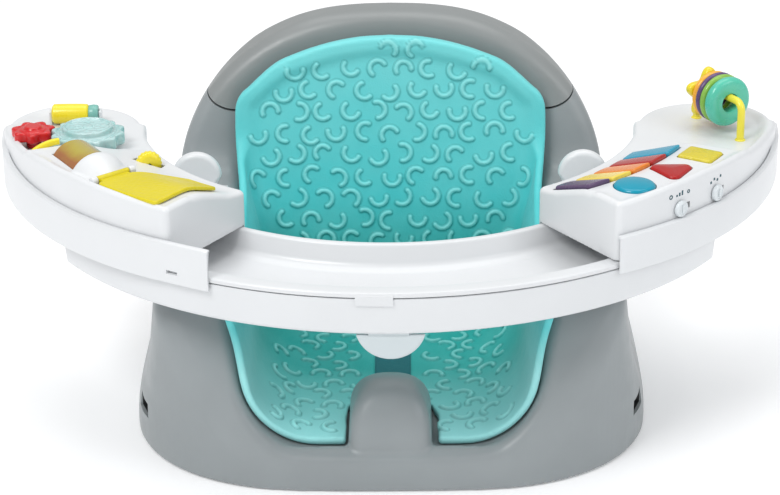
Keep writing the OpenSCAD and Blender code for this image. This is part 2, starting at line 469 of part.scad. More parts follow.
// frame of the thumb wheel: Y along its axle
module at_wheel() translate([184.5, -45.5, wheel_z]) rotate([0, 0, 15]) children();
module gear_pod_cover() put() left() color(white) difference() {
  union() {
    pod_shell(gear_a, gear_step, 168.5, 25.5, 30.6);
    for (p = gear_posts) at_arc(p[0], p[1], 181.5) cylinder(r = 4, h = p[1] > 66 ? deck_z - 183 : surf(min(p[0], 257)) - 183.4);
    // hood over the near end of the drum
    intersection() {
      at_drum() along(-42, 20, 22.8);
      ring(40, 70, [[200, pod_z - 2.4], [400, pod_z - 2.4], [400, 260], [200, 260]]);
    }
    // sockets for the gear axles
    for (c = [big_c, red_c]) translate([c[0], c[1], 196]) cylinder(r = 5, h = deck_z - 197);
    // brackets for the roller
    for (x = [231.6, 271.3]) translate([x, 48, deck_z - 1]) cube([2.4, 8, 12.6]);
    // knuckles of the flap hinge
    for (r = [256.4, 290.4]) at_arc(r, hinge_a, 0) {
      translate([0, 0, hinge_z]) rotate([0, 90, 0]) cylinder(r = 3, h = 5);
      translate([0.3, -2.4, 221]) cube([4.4, 4.8, hinge_z - 221]);
    }
    // cheeks below the top that carry the thumb wheel
    at_wheel() for (y = [-6.9, 4.6]) translate([-3.5, y, -5.5]) cube([7, 2.3, 8.2]);
  }
  at_drum() along(-40.2, 60, drum_r + 0.8);
  for (c = [big_c, red_c]) translate([c[0], c[1], 194]) cylinder(r = 2.03, h = 30);
  for (p = gear_posts) at_arc(p[0], p[1], 181) cylinder(r = 1.6, h = 12);
  at_roller() translate([0, 0, -60]) cylinder(r = 1.52, h = 120);
  at_arc(240, hinge_a, hinge_z) rotate([0, 90, 0]) cylinder(r = 1.52, h = 60);
  at_wheel() { along(-20, 40, 1.52); translate([-11.3, -4.4, -13]) cube([22.6, 8.8, 30]); }
}
module gear_pod_base() put() left() color(white * 0.97) {
  pod_floor(gear_a) for (p = gear_posts) at_arc(p[0], p[1], 170) cylinder(r = 1.9, h = 20);
  // two cradles carry the drum's axle
  at_drum() for (y = [-29.5, 22.5]) difference() {
    translate([-8, y, -30]) cube([16, 3.5, 34]);
    along(y - 1, 6, 2.03);
  }
}
module gear_pod_screws() put() left() color([0.7, 0.7, 0.72]) for (p = gear_posts) at_arc(p[0], p[1], 178.6) { cylinder(r = 1.5, h = 12.5); cylinder(r = 3.2, h = 0.4); }
module big_gear() put() left() color([0.45, 0.78, 0.80, 0.8]) translate([big_c[0], big_c[1], 0]) difference() {
  union() {
    translate([0, 0, 212.5]) linear_extrude(10) polygon(lobes(big_r, big_n, 1.9, 0.45, mesh_a));
    translate([0, 0, 222.4]) cylinder(r = 20, h = 4.6);
    translate([0, 0, deck_z + 0.5]) cylinder(r = 8, h = 6);
  }
  translate([0, 0, 200]) cylinder(r = 2.05, h = 22);
}
module red_gear() put() left() color([0.85, 0.12, 0.12]) translate([red_c[0], red_c[1], 0]) difference() {
  union() {
    translate([0, 0, 214.6]) linear_extrude(7.9) polygon(lobes(red_r, red_n, 1.9, 0.45, mesh_a + 180 + 180 / red_n));
    translate([0, 0, 222.4]) cylinder(r = 7, h = 2);
    translate([0, 0, deck_z + 0.5]) cylinder(r = 6, h = 8);
  }
  translate([0, 0, 200]) cylinder(r = 2.05, h = 20);
}
module gear_axles() put() left() color([0.7, 0.7, 0.72]) {
  translate([big_c[0], big_c[1], 196.5]) cylinder(r = 2, h = 25);
  translate([red_c[0], red_c[1], 196.5]) cylinder(r = 2, h = 23);
}
module at_roller() translate([238, 52, 215.6]) rotate([0, 90, 0]) children();
module yellow_roller() put() left() color(yellow) at_roller() translate([0, 0, 4]) difference() {
  rotate_extrude() polygon([[0, 0], [7, 0], [8.1, 1.2], [8.1, 27.8], [7, 29], [0, 29]]);
  translate([0, 0, -1]) cylinder(r = 1.56, h = 40);
}
module roller_cap() put() left() color([0.2, 0.62, 0.62]) at_roller() translate([0, 0, -3.7]) difference() {
  rotate_extrude() polygon([[0, 0], [6.6, 0], [7.4, 0.8], [7.4, 7.6], [0, 7.6]]);
  translate([0, 0, -1]) cylinder(r = 1.56, h = 20);
}
module roller_axle() put() left() color([0.7, 0.7, 0.72]) at_roller() translate([0, 0, -6.3]) cylinder(r = 1.5, h = 41.9);
module amber_drum() put() left() color([0.93, 0.62, 0.12]) at_drum() difference() {
  along(-21, 40, drum_r);
  along(-23, 46, 2.06);
}
module drum_axle() put() left() color([0.7, 0.7, 0.72]) at_drum() along(-29.3, 55.1, 2);
// arched trim at the far end of the block
function arch_pts(r0, r1) = concat([for (a = [2 : 4.4 : 90]) r1 * [cos(a), sin(a)]], [for (a = [90 : -4.4 : 2]) r0 * [cos(a), sin(a)]]);
module drum_trim() put() left() color(yellow) intersection() {
  at_arc(277.2, gear_step, 191.6) translate([0, 3.4, 0]) rotate([90, 0, 0]) linear_extrude(3.36) polygon(arch_pts(29.9, 33.1));
  ring(60, 76, [[276.2, deck_z], [302.5, deck_z], [302.5, 240], [276.2, 240]]);
}
module thumb_wheel() put() left() color(yellow) at_wheel() difference() {
  translate([0, -4, 0]) rotate([-90, 0, 0]) rotate_extrude() polygon([[0, 0], [8.7, 0], [wheel_r, 1.8], [wheel_r, 6.2], [8.7, 8], [0, 8]]);
  along(-6, 12, 1.56);
}
module wheel_axle() put() left() color([0.7, 0.7, 0.72]) at_wheel() along(-6.8, 13.6, 1.5);
// the flap is bent to follow the sloping top
module picture_flap() put() left() color(yellow) difference() {
  union() {
    ring(flap_a0, flap_a1, [[224, surf(224) + 0.8], [257.2, flap_z], [293, flap_z], [294, flap_z + 1], [294, flap_z + 2.3], [293, flap_z + 3],
      [256.6, flap_z + 3], [224.8, surf(224.8) + 3.8], [224, surf(224) + 3.1]]);
    ring(flap_a1 - 0.3, hinge_a, [[264, flap_z + 1.2], [289, flap_z + 1.2], [289, flap_z + 2.9], [264, flap_z + 2.9]]);
    at_arc(262, hinge_a, hinge_z) rotate([0, 90, 0]) cylinder(r = 2.6, h = 28);
  }
  // the inner end of the hinge side slants back
  translate([0, 0, 190]) linear_extrude(50) polygon([for (q = [[214, 39.9], [263, 46.7], [258, 60], [200, 60]]) [arc_pt(q[0], q[1])[0], arc_pt(q[0], q[1])[1]]]);
  at_arc(240, hinge_a, hinge_z) rotate([0, 90, 0]) cylinder(r = 1.56, h = 60);
}
module flap_pin() put() left() color([0.7, 0.7, 0.72]) at_arc(256.6, hinge_a, hinge_z) rotate([0, 90, 0]) cylinder(r = 1.5, h = 38.6);

seat_shell();
backrest_arch();
base_plate();
rubber_feet();
base_screws();
arch_screws();
foam_liner();
tray_top();
tray_base();
tray_screws();
release_tab();
release_spring();
latch_left();
latch_right();
latch_pins();
latch_springs();
gear_pod_cover();
gear_pod_base();
gear_pod_screws();
big_gear();
red_gear();
gear_axles();
yellow_roller();
roller_cap();
roller_axle();
amber_drum();
drum_axle();
drum_trim();
thumb_wheel();
wheel_axle();
picture_flap();
flap_pin();
piano_pod_cover();
piano_pod_base();
piano_pod_screws();
battery_door();
door_screw();
batteries();
circuit_board();
speaker();
contact_pads();
key_blue();
key_red();
key_orange();
key_yellow();
key_purple();
button_yellow();
button_red();
button_blue();
volume_switch();
mode_switch();
bead_bar();
ring_teal();
ring_lime();
ring_purple();
ring_orange();
ring_star();
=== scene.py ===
"""Looks of a baby floor seat with a crescent tray and two toy pods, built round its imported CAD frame."""
import math

import bpy
import numpy as np
from mathutils import Matrix, Vector


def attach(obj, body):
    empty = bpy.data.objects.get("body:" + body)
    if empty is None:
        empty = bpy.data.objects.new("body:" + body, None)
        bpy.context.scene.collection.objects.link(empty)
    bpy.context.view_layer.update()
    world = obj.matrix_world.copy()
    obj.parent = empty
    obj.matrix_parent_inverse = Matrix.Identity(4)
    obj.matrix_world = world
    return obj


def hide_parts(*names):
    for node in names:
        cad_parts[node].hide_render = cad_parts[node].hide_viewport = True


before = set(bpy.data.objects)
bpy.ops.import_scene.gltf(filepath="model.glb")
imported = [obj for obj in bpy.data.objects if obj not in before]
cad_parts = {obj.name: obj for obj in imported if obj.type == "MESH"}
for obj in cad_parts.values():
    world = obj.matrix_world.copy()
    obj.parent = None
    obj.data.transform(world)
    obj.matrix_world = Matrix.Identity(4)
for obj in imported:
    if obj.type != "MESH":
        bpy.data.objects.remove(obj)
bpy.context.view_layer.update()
YO = 19.0            # the whole object is centred front to back by this shift, mm
MM = 0.001
F32 = np.float32


# ------------------------------------------------------------------ numbers
def rnd(seed):
    return np.random.RandomState(seed)


def poly(px, py, pts):
    """Signed distance from points to a closed outline, below zero inside."""
    pts = np.asarray(pts, float)
    keep = [0]
    for i in range(1, len(pts)):
        if np.hypot(*(pts[i] - pts[keep[-1]])) > 1e-6:
            keep.append(i)
    pts = pts[keep]
    d = s = None
    for i in range(len(pts)):
        ax, ay = pts[i]
        bx, by = pts[i - 1]
        ex, ey = bx - ax, by - ay
        wx, wy = px - F32(ax), py - F32(ay)
        t = np.clip((wx * F32(ex) + wy * F32(ey)) / F32(ex * ex + ey * ey), 0, 1)
        q = (wx - F32(ex) * t) ** 2 + (wy - F32(ey) * t) ** 2
        d = q if d is None else np.minimum(d, q)
        c1, c2, c3 = wy >= 0, py < by, F32(ex) * wy > F32(ey) * wx
        f = (c1 & c2 & c3) | (~c1 & ~c2 & ~c3)
        s = f if s is None else s ^ f
    return np.where(s, -1, 1).astype(F32) * np.sqrt(d)


def rand_(a, b, r):
    """Intersection of two solids with a rounded edge of radius r."""
    u, v = np.maximum(r + a, 0), np.maximum(r + b, 0)
    return np.minimum(-r, np.maximum(a, b)) + np.hypot(u, v)


def ror_(a, b, r):
    """Union of two solids with a fillet of radius r."""
    u, v = np.maximum(r - a, 0), np.maximum(r - b, 0)
    return np.maximum(r, np.minimum(a, b)) - np.hypot(u, v)


def smooth_line(pts, step=3.0, closed=False, hard=()):
    """A smooth curve through points, resampled. Corners named in hard stay sharp."""
    pts = [np.array(p, float) for p in pts]
    n, out = len(pts), []
    for i in range(n if closed else n - 1):
        p1, p2 = pts[i], pts[(i + 1) % n]
        p0 = pts[i - 1] if (closed or i > 0) and i not in hard else p1 * 2 - p2
        p3 = pts[(i + 2) % n] if (closed or i < n - 2) and (i + 1) % n not in hard else p2 * 2 - p1
        # centripetal Catmull-Rom
        t0 = 0.0
        t1 = t0 + max(np.linalg.norm(p1 - p0), 1e-6) ** 0.5
        t2 = t1 + max(np.linalg.norm(p2 - p1), 1e-6) ** 0.5
        t3 = t2 + max(np.linalg.norm(p3 - p2), 1e-6) ** 0.5
        k = max(1, int(math.ceil(np.linalg.norm(p2 - p1) / step)))
        for j in range(k):
            t = t1 + (t2 - t1) * j / k
            a1 = (t1 - t) / (t1 - t0) * p0 + (t - t0) / (t1 - t0) * p1
            a2 = (t2 - t) / (t2 - t1) * p1 + (t - t1) / (t2 - t1) * p2
            a3 = (t3 - t) / (t3 - t2) * p2 + (t - t2) / (t3 - t2) * p3
            b1 = (t2 - t) / (t2 - t0) * a1 + (t - t0) / (t2 - t0) * a2
            b2 = (t3 - t) / (t3 - t1) * a2 + (t - t1) / (t3 - t1) * a3
            out.append((t2 - t) / (t2 - t1) * b1 + (t - t1) / (t2 - t1) * b2)
    if not closed:
        out.append(pts[-1])
    return [tuple(p) for p in out]


def both_sides(half):
    """An outline symmetric about x = 0 from its right half, bottom to top."""
    return list(half) + [(-x, z) for x, z in reversed(half) if abs(x) > 0.01]


# ------------------------------------------------------------------ surfaces from a field
CORNERS = [(i, j, k) for i in (0, 1) for j in (0, 1) for k in (0, 1)]
EDGES = [(a, b) for a in CORNERS for b in CORNERS if a < b and sum(abs(p - q) for p, q in zip(a, b)) == 1]


def nets(f, lo, hi, h, steps=3):
    """Points and quads of the surface where f is zero. f takes broadcastable x, y, z in mm."""
    lo = np.array(lo, float) - 1.5 * h
    n = np.ceil((np.array(hi, float) + 1.5 * h - lo) / h).astype(int) + 1
    ax = [(lo[i] + h * np.arange(n[i])).astype(F32) for i in range(3)]
    F = np.array(np.broadcast_to(f(ax[0][:, None, None], ax[1][None, :, None], ax[2][None, None, :]), tuple(n)), F32)
    S = F < 0
    c = np.zeros(tuple(n - 1), np.int8)
    for dx, dy, dz in CORNERS:
        c += S[dx:n[0] - 1 + dx, dy:n[1] - 1 + dy, dz:n[2] - 1 + dz]
    act = (c > 0) & (c < 8)
    I, J, K = np.nonzero(act)
    idx = np.full(act.shape, -1, np.int64)
    idx[I, J, K] = np.arange(len(I))
    P, m = np.zeros((len(I), 3)), np.zeros(len(I))
    for a, b in EDGES:
        fa, fb = F[I + a[0], J + a[1], K + a[2]], F[I + b[0], J + b[1], K + b[2]]
        cut = (fa < 0) != (fb < 0)
        t = np.where(cut, fa / np.where(cut, fa - fb, 1), 0)
        for d in range(3):
            P[:, d] += np.where(cut, a[d] + t * (b[d] - a[d]), 0)
        m += cut
    P = lo + h * (np.stack([I, J, K], 1) + P / m[:, None])
    quads = []
    for axis in range(3):
        o1, o2 = (axis + 1) % 3, (axis + 2) % 3
        s0 = [slice(None)] * 3
        s1 = [slice(None)] * 3
        s0[axis], s1[axis] = slice(0, -1), slice(1, None)
        s0[o1] = s1[o1] = s0[o2] = s1[o2] = slice(1, -1)
        a, b = S[tuple(s0)], S[tuple(s1)]
        at = np.stack(np.nonzero(a != b), 1)
        if not len(at):
            continue
        inside = a[tuple(at.T)]
        at[:, o1] += 1
        at[:, o2] += 1

        def cell(d1, d2):
            q = at.copy()
            q[:, o1] += d1
            q[:, o2] += d2
            return idx[q[:, 0], q[:, 1], q[:, 2]]
        q = np.stack([cell(-1, -1), cell(0, -1), cell(0, 0), cell(-1, 0)], 1)
        q[~inside] = q[~inside][:, ::-1]
        quads.append(q)
    Q = np.concatenate(quads)
    P = settle(f, P, h, steps)
    return P, Q


def settle(f, P, h, steps):
    """Moves points onto the surface of the field."""
    e = F32(0.2 * h)
    for _ in range(steps):
        x, y, z = (P[:, i].astype(F32) for i in range(3))
        v = f(x, y, z)
        g = np.stack([f(x + e, y, z) - f(x - e, y, z), f(x, y + e, z) - f(x, y - e, z), f(x, y, z + e) - f(x, y, z - e)], 1) / (2 * e)
        gg = np.maximum((g * g).sum(1), 0.05)
        step = -(v / gg)[:, None] * g
        ln = np.linalg.norm(step, axis=1)[:, None]
        P = P + step * np.minimum(1, 0.6 * h / np.maximum(ln, 1e-9))
    return P


def mesh_of(name, P, Q, smooth=True):
    """A mesh object from points in mm in the seat's own frame and faces of one size."""
    P, Q = np.asarray(P, float), np.asarray(Q, np.int32)
    me = bpy.data.meshes.new(name)
    me.vertices.add(len(P))
    me.vertices.foreach_set("co", ((P + [0, YO, 0]) * MM).astype(F32).ravel())
    k = Q.shape[1]
    me.loops.add(Q.size)
    me.loops.foreach_set("vertex_index", Q.ravel())
    me.polygons.add(len(Q))
    me.polygons.foreach_set("loop_start", np.arange(0, Q.size, k, dtype=np.int32))
    me.polygons.foreach_set("loop_total", np.full(len(Q), k, np.int32))
    me.update(calc_edges=True)
    me.validate()
    me.polygons.foreach_set("use_smooth", np.full(len(me.polygons), smooth))
    ob = bpy.data.objects.new(name, me)
    bpy.context.scene.collection.objects.link(ob)
    return ob


def apply_all(ob):
    bpy.context.view_layer.update()
    deps = bpy.context.evaluated_depsgraph_get()
    new = bpy.data.meshes.new_from_object(ob.evaluated_get(deps))
    ob.modifiers.clear()
    old, ob.data = ob.data, new
    new.name = ob.name
    bpy.data.meshes.remove(old)
    return ob


def thin(ob, ratio):
    """Fewer faces where the surface is flat."""
    m = ob.modifiers.new("d", "DECIMATE")
    m.ratio = ratio
    apply_all(ob)
    ob.data.polygons.foreach_set("use_smooth", np.full(len(ob.data.polygons), True))
    return ob


def solid(name, f, lo, hi, h, steps=3, ratio=None):
    P, Q = nets(f, lo, hi, h, steps)
    ob = mesh_of(name, P, Q)
    if ratio:
        thin(ob, ratio)
    return ob


def ride(ob, body, *nodes):
    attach(ob, body)
    if nodes:
        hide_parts(*nodes)
    return ob


class Outline:
    """A closed outline whose signed distance is read from a fine table."""

    def __init__(self, pts, res=1.0, pad=45):
        pts = np.asarray(pts, float)
        self.lo, hi = pts.min(0) - pad, pts.max(0) + pad
        n = np.ceil((hi - self.lo) / res).astype(int) + 1
        self.n, self.res = n, res
        gx = (self.lo[0] + res * np.arange(n[0])).astype(F32)
        gy = (self.lo[1] + res * np.arange(n[1])).astype(F32)
        self.g = poly(gx[:, None], gy[None, :], pts).astype(F32)

    def __call__(self, u, v):
        a = np.clip((u - F32(self.lo[0])) / F32(self.res), 0, F32(self.n[0] - 1.001))
        b = np.clip((v - F32(self.lo[1])) / F32(self.res), 0, F32(self.n[1] - 1.001))
        i, j = a.astype(np.int32), b.astype(np.int32)
        fa, fb = a - i, b - j
        g = self.g
        return (g[i, j] * (1 - fa) + g[i + 1, j] * fa) * (1 - fb) + (g[i, j + 1] * (1 - fa) + g[i + 1, j + 1] * fa) * fb


def cutter(name, pts, z0, z1, axes="xy"):
    """A prism object from a flat outline in mm, along the third axis."""
    n = len(pts)
    P = []
    for w in (z0, z1):
        for u, v in pts:
            P.append((u, v, w) if axes == "xy" else (u, w, v) if axes == "xz" else (w, u, v))
    area = sum(pts[i][0] * pts[(i + 1) % n][1] - pts[(i + 1) % n][0] * pts[i][1] for i in range(n))
    flip = (area < 0) ^ (axes == "xz")
    faces = [list(range(n))[::-1], list(range(n, 2 * n))] + [[i, (i + 1) % n, n + (i + 1) % n, n + i] for i in range(n)]
    if flip:
        faces = [f[::-1] for f in faces]
    me = bpy.data.meshes.new(name)
    me.from_pydata([((p[0]) * MM, (p[1] + YO) * MM, p[2] * MM) for p in P], [], faces)
    me.update()
    ob = bpy.data.objects.new(name, me)
    bpy.context.scene.collection.objects.link(ob)
    return ob


def cut(ob, tool, how="DIFFERENCE", drop=True):
    had = len(ob.data.vertices)
    keep = ob.data.copy()
    for solver in ("MANIFOLD", "EXACT"):
        m = ob.modifiers.new("b", "BOOLEAN")
        m.operation, m.object, m.solver = how, tool, solver
        apply_all(ob)
        n = len(ob.data.vertices)
        if n and n != had:
            break
        ob.data = keep.copy()
    if drop:
        bpy.data.objects.remove(tool)
    return ob


def hollow(name, outer, inner, lo, hi, h, h_in):
    """A thin-walled body: the outside and the inside are each drawn on their own, and one is taken from the other."""
    ob = solid(name, outer, lo, hi, h, 3)
    core = solid("c", inner, lo, hi, h_in, 3)
    return cut(ob, core)


def islands(ob):
    """Vertex labels of an object's loose parts."""
    me = ob.data
    e = np.zeros(len(me.edges) * 2, np.int32)
    me.edges.foreach_get("vertices", e)
    e = e.reshape(-1, 2)
    lab = np.arange(len(me.vertices))
    while True:
        m = np.minimum(lab[e[:, 0]], lab[e[:, 1]])
        new = lab.copy()
        np.minimum.at(new, e[:, 0], m)
        np.minimum.at(new, e[:, 1], m)
        new = new[new]
        if (new == lab).all():
            return lab
        lab = new


def coords(ob):
    """An object's points in mm in the seat's own frame."""
    co = np.zeros(len(ob.data.vertices) * 3, F32)
    ob.data.vertices.foreach_get("co", co)
    return co.reshape(-1, 3).astype(float) / MM - [0, YO, 0]


def keep_faces(ob, test, name):
    """A new object from the loose parts whose middle passes the test."""
    import bmesh
    lab, co = islands(ob), coords(ob)
    good = {l for l in np.unique(lab) if test(co[lab == l].mean(0), int((lab == l).sum()))}
    mask = np.isin(lab, list(good))
    new = ob.copy()
    new.data = ob.data.copy()
    new.name = new.data.name = name
    bpy.context.scene.collection.objects.link(new)
    bm = bmesh.new()
    bm.from_mesh(new.data)
    bm.verts.ensure_lookup_table()
    bmesh.ops.delete(bm, geom=[bm.verts[int(i)] for i in np.nonzero(~mask)[0]], context="VERTS")
    bm.to_mesh(new.data)
    bm.free()
    return new


def autosmooth(ob, angle=35):
    """Smooth shading with crisp edges where faces meet at more than the angle."""
    import bmesh
    bm = bmesh.new()
    bm.from_mesh(ob.data)
    for f in bm.faces:
        f.smooth = True
    lim = math.radians(angle)
    for e in bm.edges:
        e.smooth = not (len(e.link_faces) == 2 and e.calc_face_angle(0) > lim)
    bm.to_mesh(ob.data)
    bm.free()
    return ob


# ------------------------------------------------------------------ outlines, mm
ARC_Y = 75.0
front_half = [(203.2, -6), (204, 6), (202.4, 19), (197.6, 35), (190.8, 53), (186.2, 72), (183.2, 92), (180.5, 112)] + \
    [(177.6 * math.cos(math.radians(a)) ** 0.976, 131.5 + 142.3 * math.sin(math.radians(a)) ** 0.976) for a in range(2, 91, 8)]
FRONT = Outline(both_sides(smooth_line(front_half, 4, hard=(0, len(front_half) - 1))))
side = smooth_line([(-189, -6), (-191, 10), (-189.4, 22), (-183, 33.5), (-171.5, 60), (-158.5, 91), (-145.5, 116), (-135, 129), (-124, 138), (-111, 142.7), (-97, 143.6)], 4, hard=(0, 10)) + \
    smooth_line([(80, 143.6), (92, 144.6), (103, 149.5), (111, 160), (118, 184), (129, 226), (138, 259), (142.4, 268.4), (150.5, 273.8), (163, 274.9), (172.5, 273), (178.6, 264.5),
                 (180.4, 245), (180, 200), (181, 90), (183, 36), (185, 14), (185, -6)], 4, hard=(0, 17))
SIDE = Outline(side)
PLAN = Outline([(204.5 * math.copysign(abs(math.cos(t)) ** (2 / 2.9), math.cos(t)), 191 * math.copysign(abs(math.sin(t)) ** (2 / 2.9), math.sin(t)))
                for t in np.linspace(0, 2 * math.pi, 160, endpoint=False)])


def well_front(t):
    pts = [(0, 26 + t)] + [(52 + (61 - t) * math.cos(math.radians(a)), 87 + (61 - t) * math.sin(math.radians(a))) for a in range(-90, 0, 10)] + \
        [(117.5 - t, 112), (124.5 - t, 140), (129.6 - t, 170)] + \
        [(107.6 + (22.2 - t) * math.cos(math.radians(a)), 196 + (22.2 - t) * math.sin(math.radians(a))) for a in range(2, 58, 11)] + \
        [((217.6 - t) * math.cos(math.radians(a)), 39.5 + (217.6 - t) * math.sin(math.radians(a))) for a in (64, 70, 76, 83, 90)]
    return both_sides(smooth_line(pts, 3, hard=(0, 1, len(pts) - 1)))


def well_side(y0, b, z0, r=0.0):
    back = [(72 + b, z0), (84 + b, 46), (95 + b, 100), (134 + b, 256), (155 + b, 330)]
    if r:
        back = [(72 + b - r, z0), (72 + b - r * 0.42, z0 + r * 0.16), (80 + b - r * 0.02, z0 + r * 0.62), (87.5 + b, 64), (95 + b, 100), (114 + b, 176), (134 + b, 256), (155 + b, 330)]
        back = smooth_line(back, 3, hard=(0, len(back) - 1))
    return [(y0, z0)] + back + [(y0, 330)]


WELL_F, WELL_S = Outline(well_front(0)), Outline(well_side(-300, 0, 26))
LIP = Outline([(-300, -20), (-173.5, -20), (-173.5, 26), (-171.5, 31), (-300, 31.4)])
POM_F = Outline(both_sides(smooth_line([(32.4, 0), (31.8, 20), (31, 38), (29.8, 50), (27, 60), (22, 69), (15, 75.6), (8, 78.8), (0, 79.8)], 2.5, hard=(0, 8))))
POM_S = Outline(smooth_line([(-183, 0), (-181, 20), (-178.6, 42), (-174.4, 56), (-167.5, 68), (-158, 76.6), (-148, 79.9), (-137, 76.6), (-126, 67), (-115, 51), (-106.5, 35), (-101, 20), (-98, 0)], 2.5, hard=(0, 12)))


def seat_field(x, y, z):
    body = rand_(rand_(FRONT(x, z), SIDE(y, z), 11), PLAN(x, y), 9)
    well = rand_(WELL_F(x, z), WELL_S(y, z), 5)
    well = rand_(well, -LIP(y, z), 3)
    f = rand_(body, -well, 9)
    return ror_(f, rand_(POM_F(x, z), POM_S(y, z), 10), 3.5)


def seat():
    # walls 4 mm thick, open underneath
    ob = hollow("seat_whole", lambda x, y, z: np.maximum(seat_field(x, y, z), 1.3 - z), lambda x, y, z: seat_field(x, y, z) + 4.2,
                (-206, -193, -3), (206, 190, 278), 2.2, 3.6)
    # the seam between shell and arch, a thin curved gap straight through
    seam = smooth_line([(-3, 192), (40, 192), (88, 192), (108, 192), (129, 192.6), (141, 195.6), (150, 201.6), (157, 210.5), (170, 220), (215, 226)], 3)
    slab = [(x, z + 0.95) for x, z in seam] + [(x, z - 0.95) for x, z in reversed(seam)]
    for s in (1, -1):
        cut(ob, cutter("c", [(s * x, z) for x, z in slab], 70, 230, "xz"))
        # strap slots
        b = [(s * (192 + dx), -98 + dy) for dx, dy in ((-14, -17), (22, -17), (22, 8), (-14, 8))]
        cut(ob, cutter("c", b, 26, 38.5))
    thin(ob, 0.42)
    autosmooth(ob, 38)
    shell = keep_faces(ob, lambda c, n: c[2] < 185, "shell")
    arch = keep_faces(ob, lambda c, n: c[2] >= 185, "arch")
    bpy.data.objects.remove(ob)
    return shell, arch


# ------------------------------------------------------------------ foam liner
L_OUT_F, L_OUT_S = Outline(well_front(1.3)), Outline(well_side(-166.5, -0.8, 26.8, 14))
L_IN_F, L_IN_S = Outline(well_front(7.7)), Outline(well_side(-400, -8.6, 33.7, 30))
WING = Outline([(-400, 134)] + smooth_line([(-118, 134), (-40, 135.2), (20, 137.4), (62, 146), (85, 159), (101, 174.5), (110, 215), (120, 256), (131, 400)], 3) + [(-400, 400)])
GAP = Outline(smooth_line([(-32.6, -210), (-32.2, -150), (-31, -122), (-14, -103), (2, -99.5), (18, -103), (35, -122), (36, -150), (36.4, -210)], 3))


def liner_in(x, y, z):
    # the sides flow into the back in a wide curve
    return rand_(L_IN_F(x, z), L_IN_S(y, z), 4 + 11 * step01((z - 50) / 50))


def liner_field(x, y, z):
    f = rand_(rand_(L_OUT_F(x, z), L_OUT_S(y, z), 5), -liner_in(x, y, z), 2.6)
    f = rand_(f, -WING(y, z), 2.6)
    pom = rand_(POM_F(x, z), POM_S(y, z), 10) - 1.6
    f = rand_(f, -pom, 2)
    f = rand_(f, -GAP(x, y), 2.4)
    # a shallow channel runs back from the pommel
    ch = rand_(np.abs(x - F32(1.5)) - 14.5, np.maximum(np.abs(y + 30) - 70, 32.8 - z), 1.0)
    return rand_(f, -ch, 1.2)


def arc_marks():
    """Where the small C-shaped ridges sit: (start point, direction to look along), row by row."""
    r = rnd(11)
    spots = []
    for j in range(16):
        for i in range(-8, 9):
            x = (i + 0.5 * (j % 2)) * 22.0 + r.uniform(-1.6, 1.6)
            z = 247 - j * 17.4 + r.uniform(-1.8, 1.8)
            if 62 < z < 252 and abs(x) < 118:
                spots.append(((x, -60, z), (0, 1, 0)))
    for j in range(15):
        for i in range(-8, 9):
            x = (i + 0.5 * (j % 2)) * 22.0 + r.uniform(-1.6, 1.6)
            y = 62 - j * 17.4 + r.uniform(-1.8, 1.8)
            if y > -160:
                spots.append(((x, y, 120), (0, 0, -1)))
    for s in (-1, 1):
        for j in range(6):
            for i in range(14):
                y = 76 - (i + 0.5 * (j % 2)) * 22.0 + r.uniform(-1.6, 1.6)
                z = 164 - j * 17.4 + r.uniform(-1.8, 1.8)
                if z > 72:
                    spots.append(((0, y, z), (s, 0, 0)))
    return spots


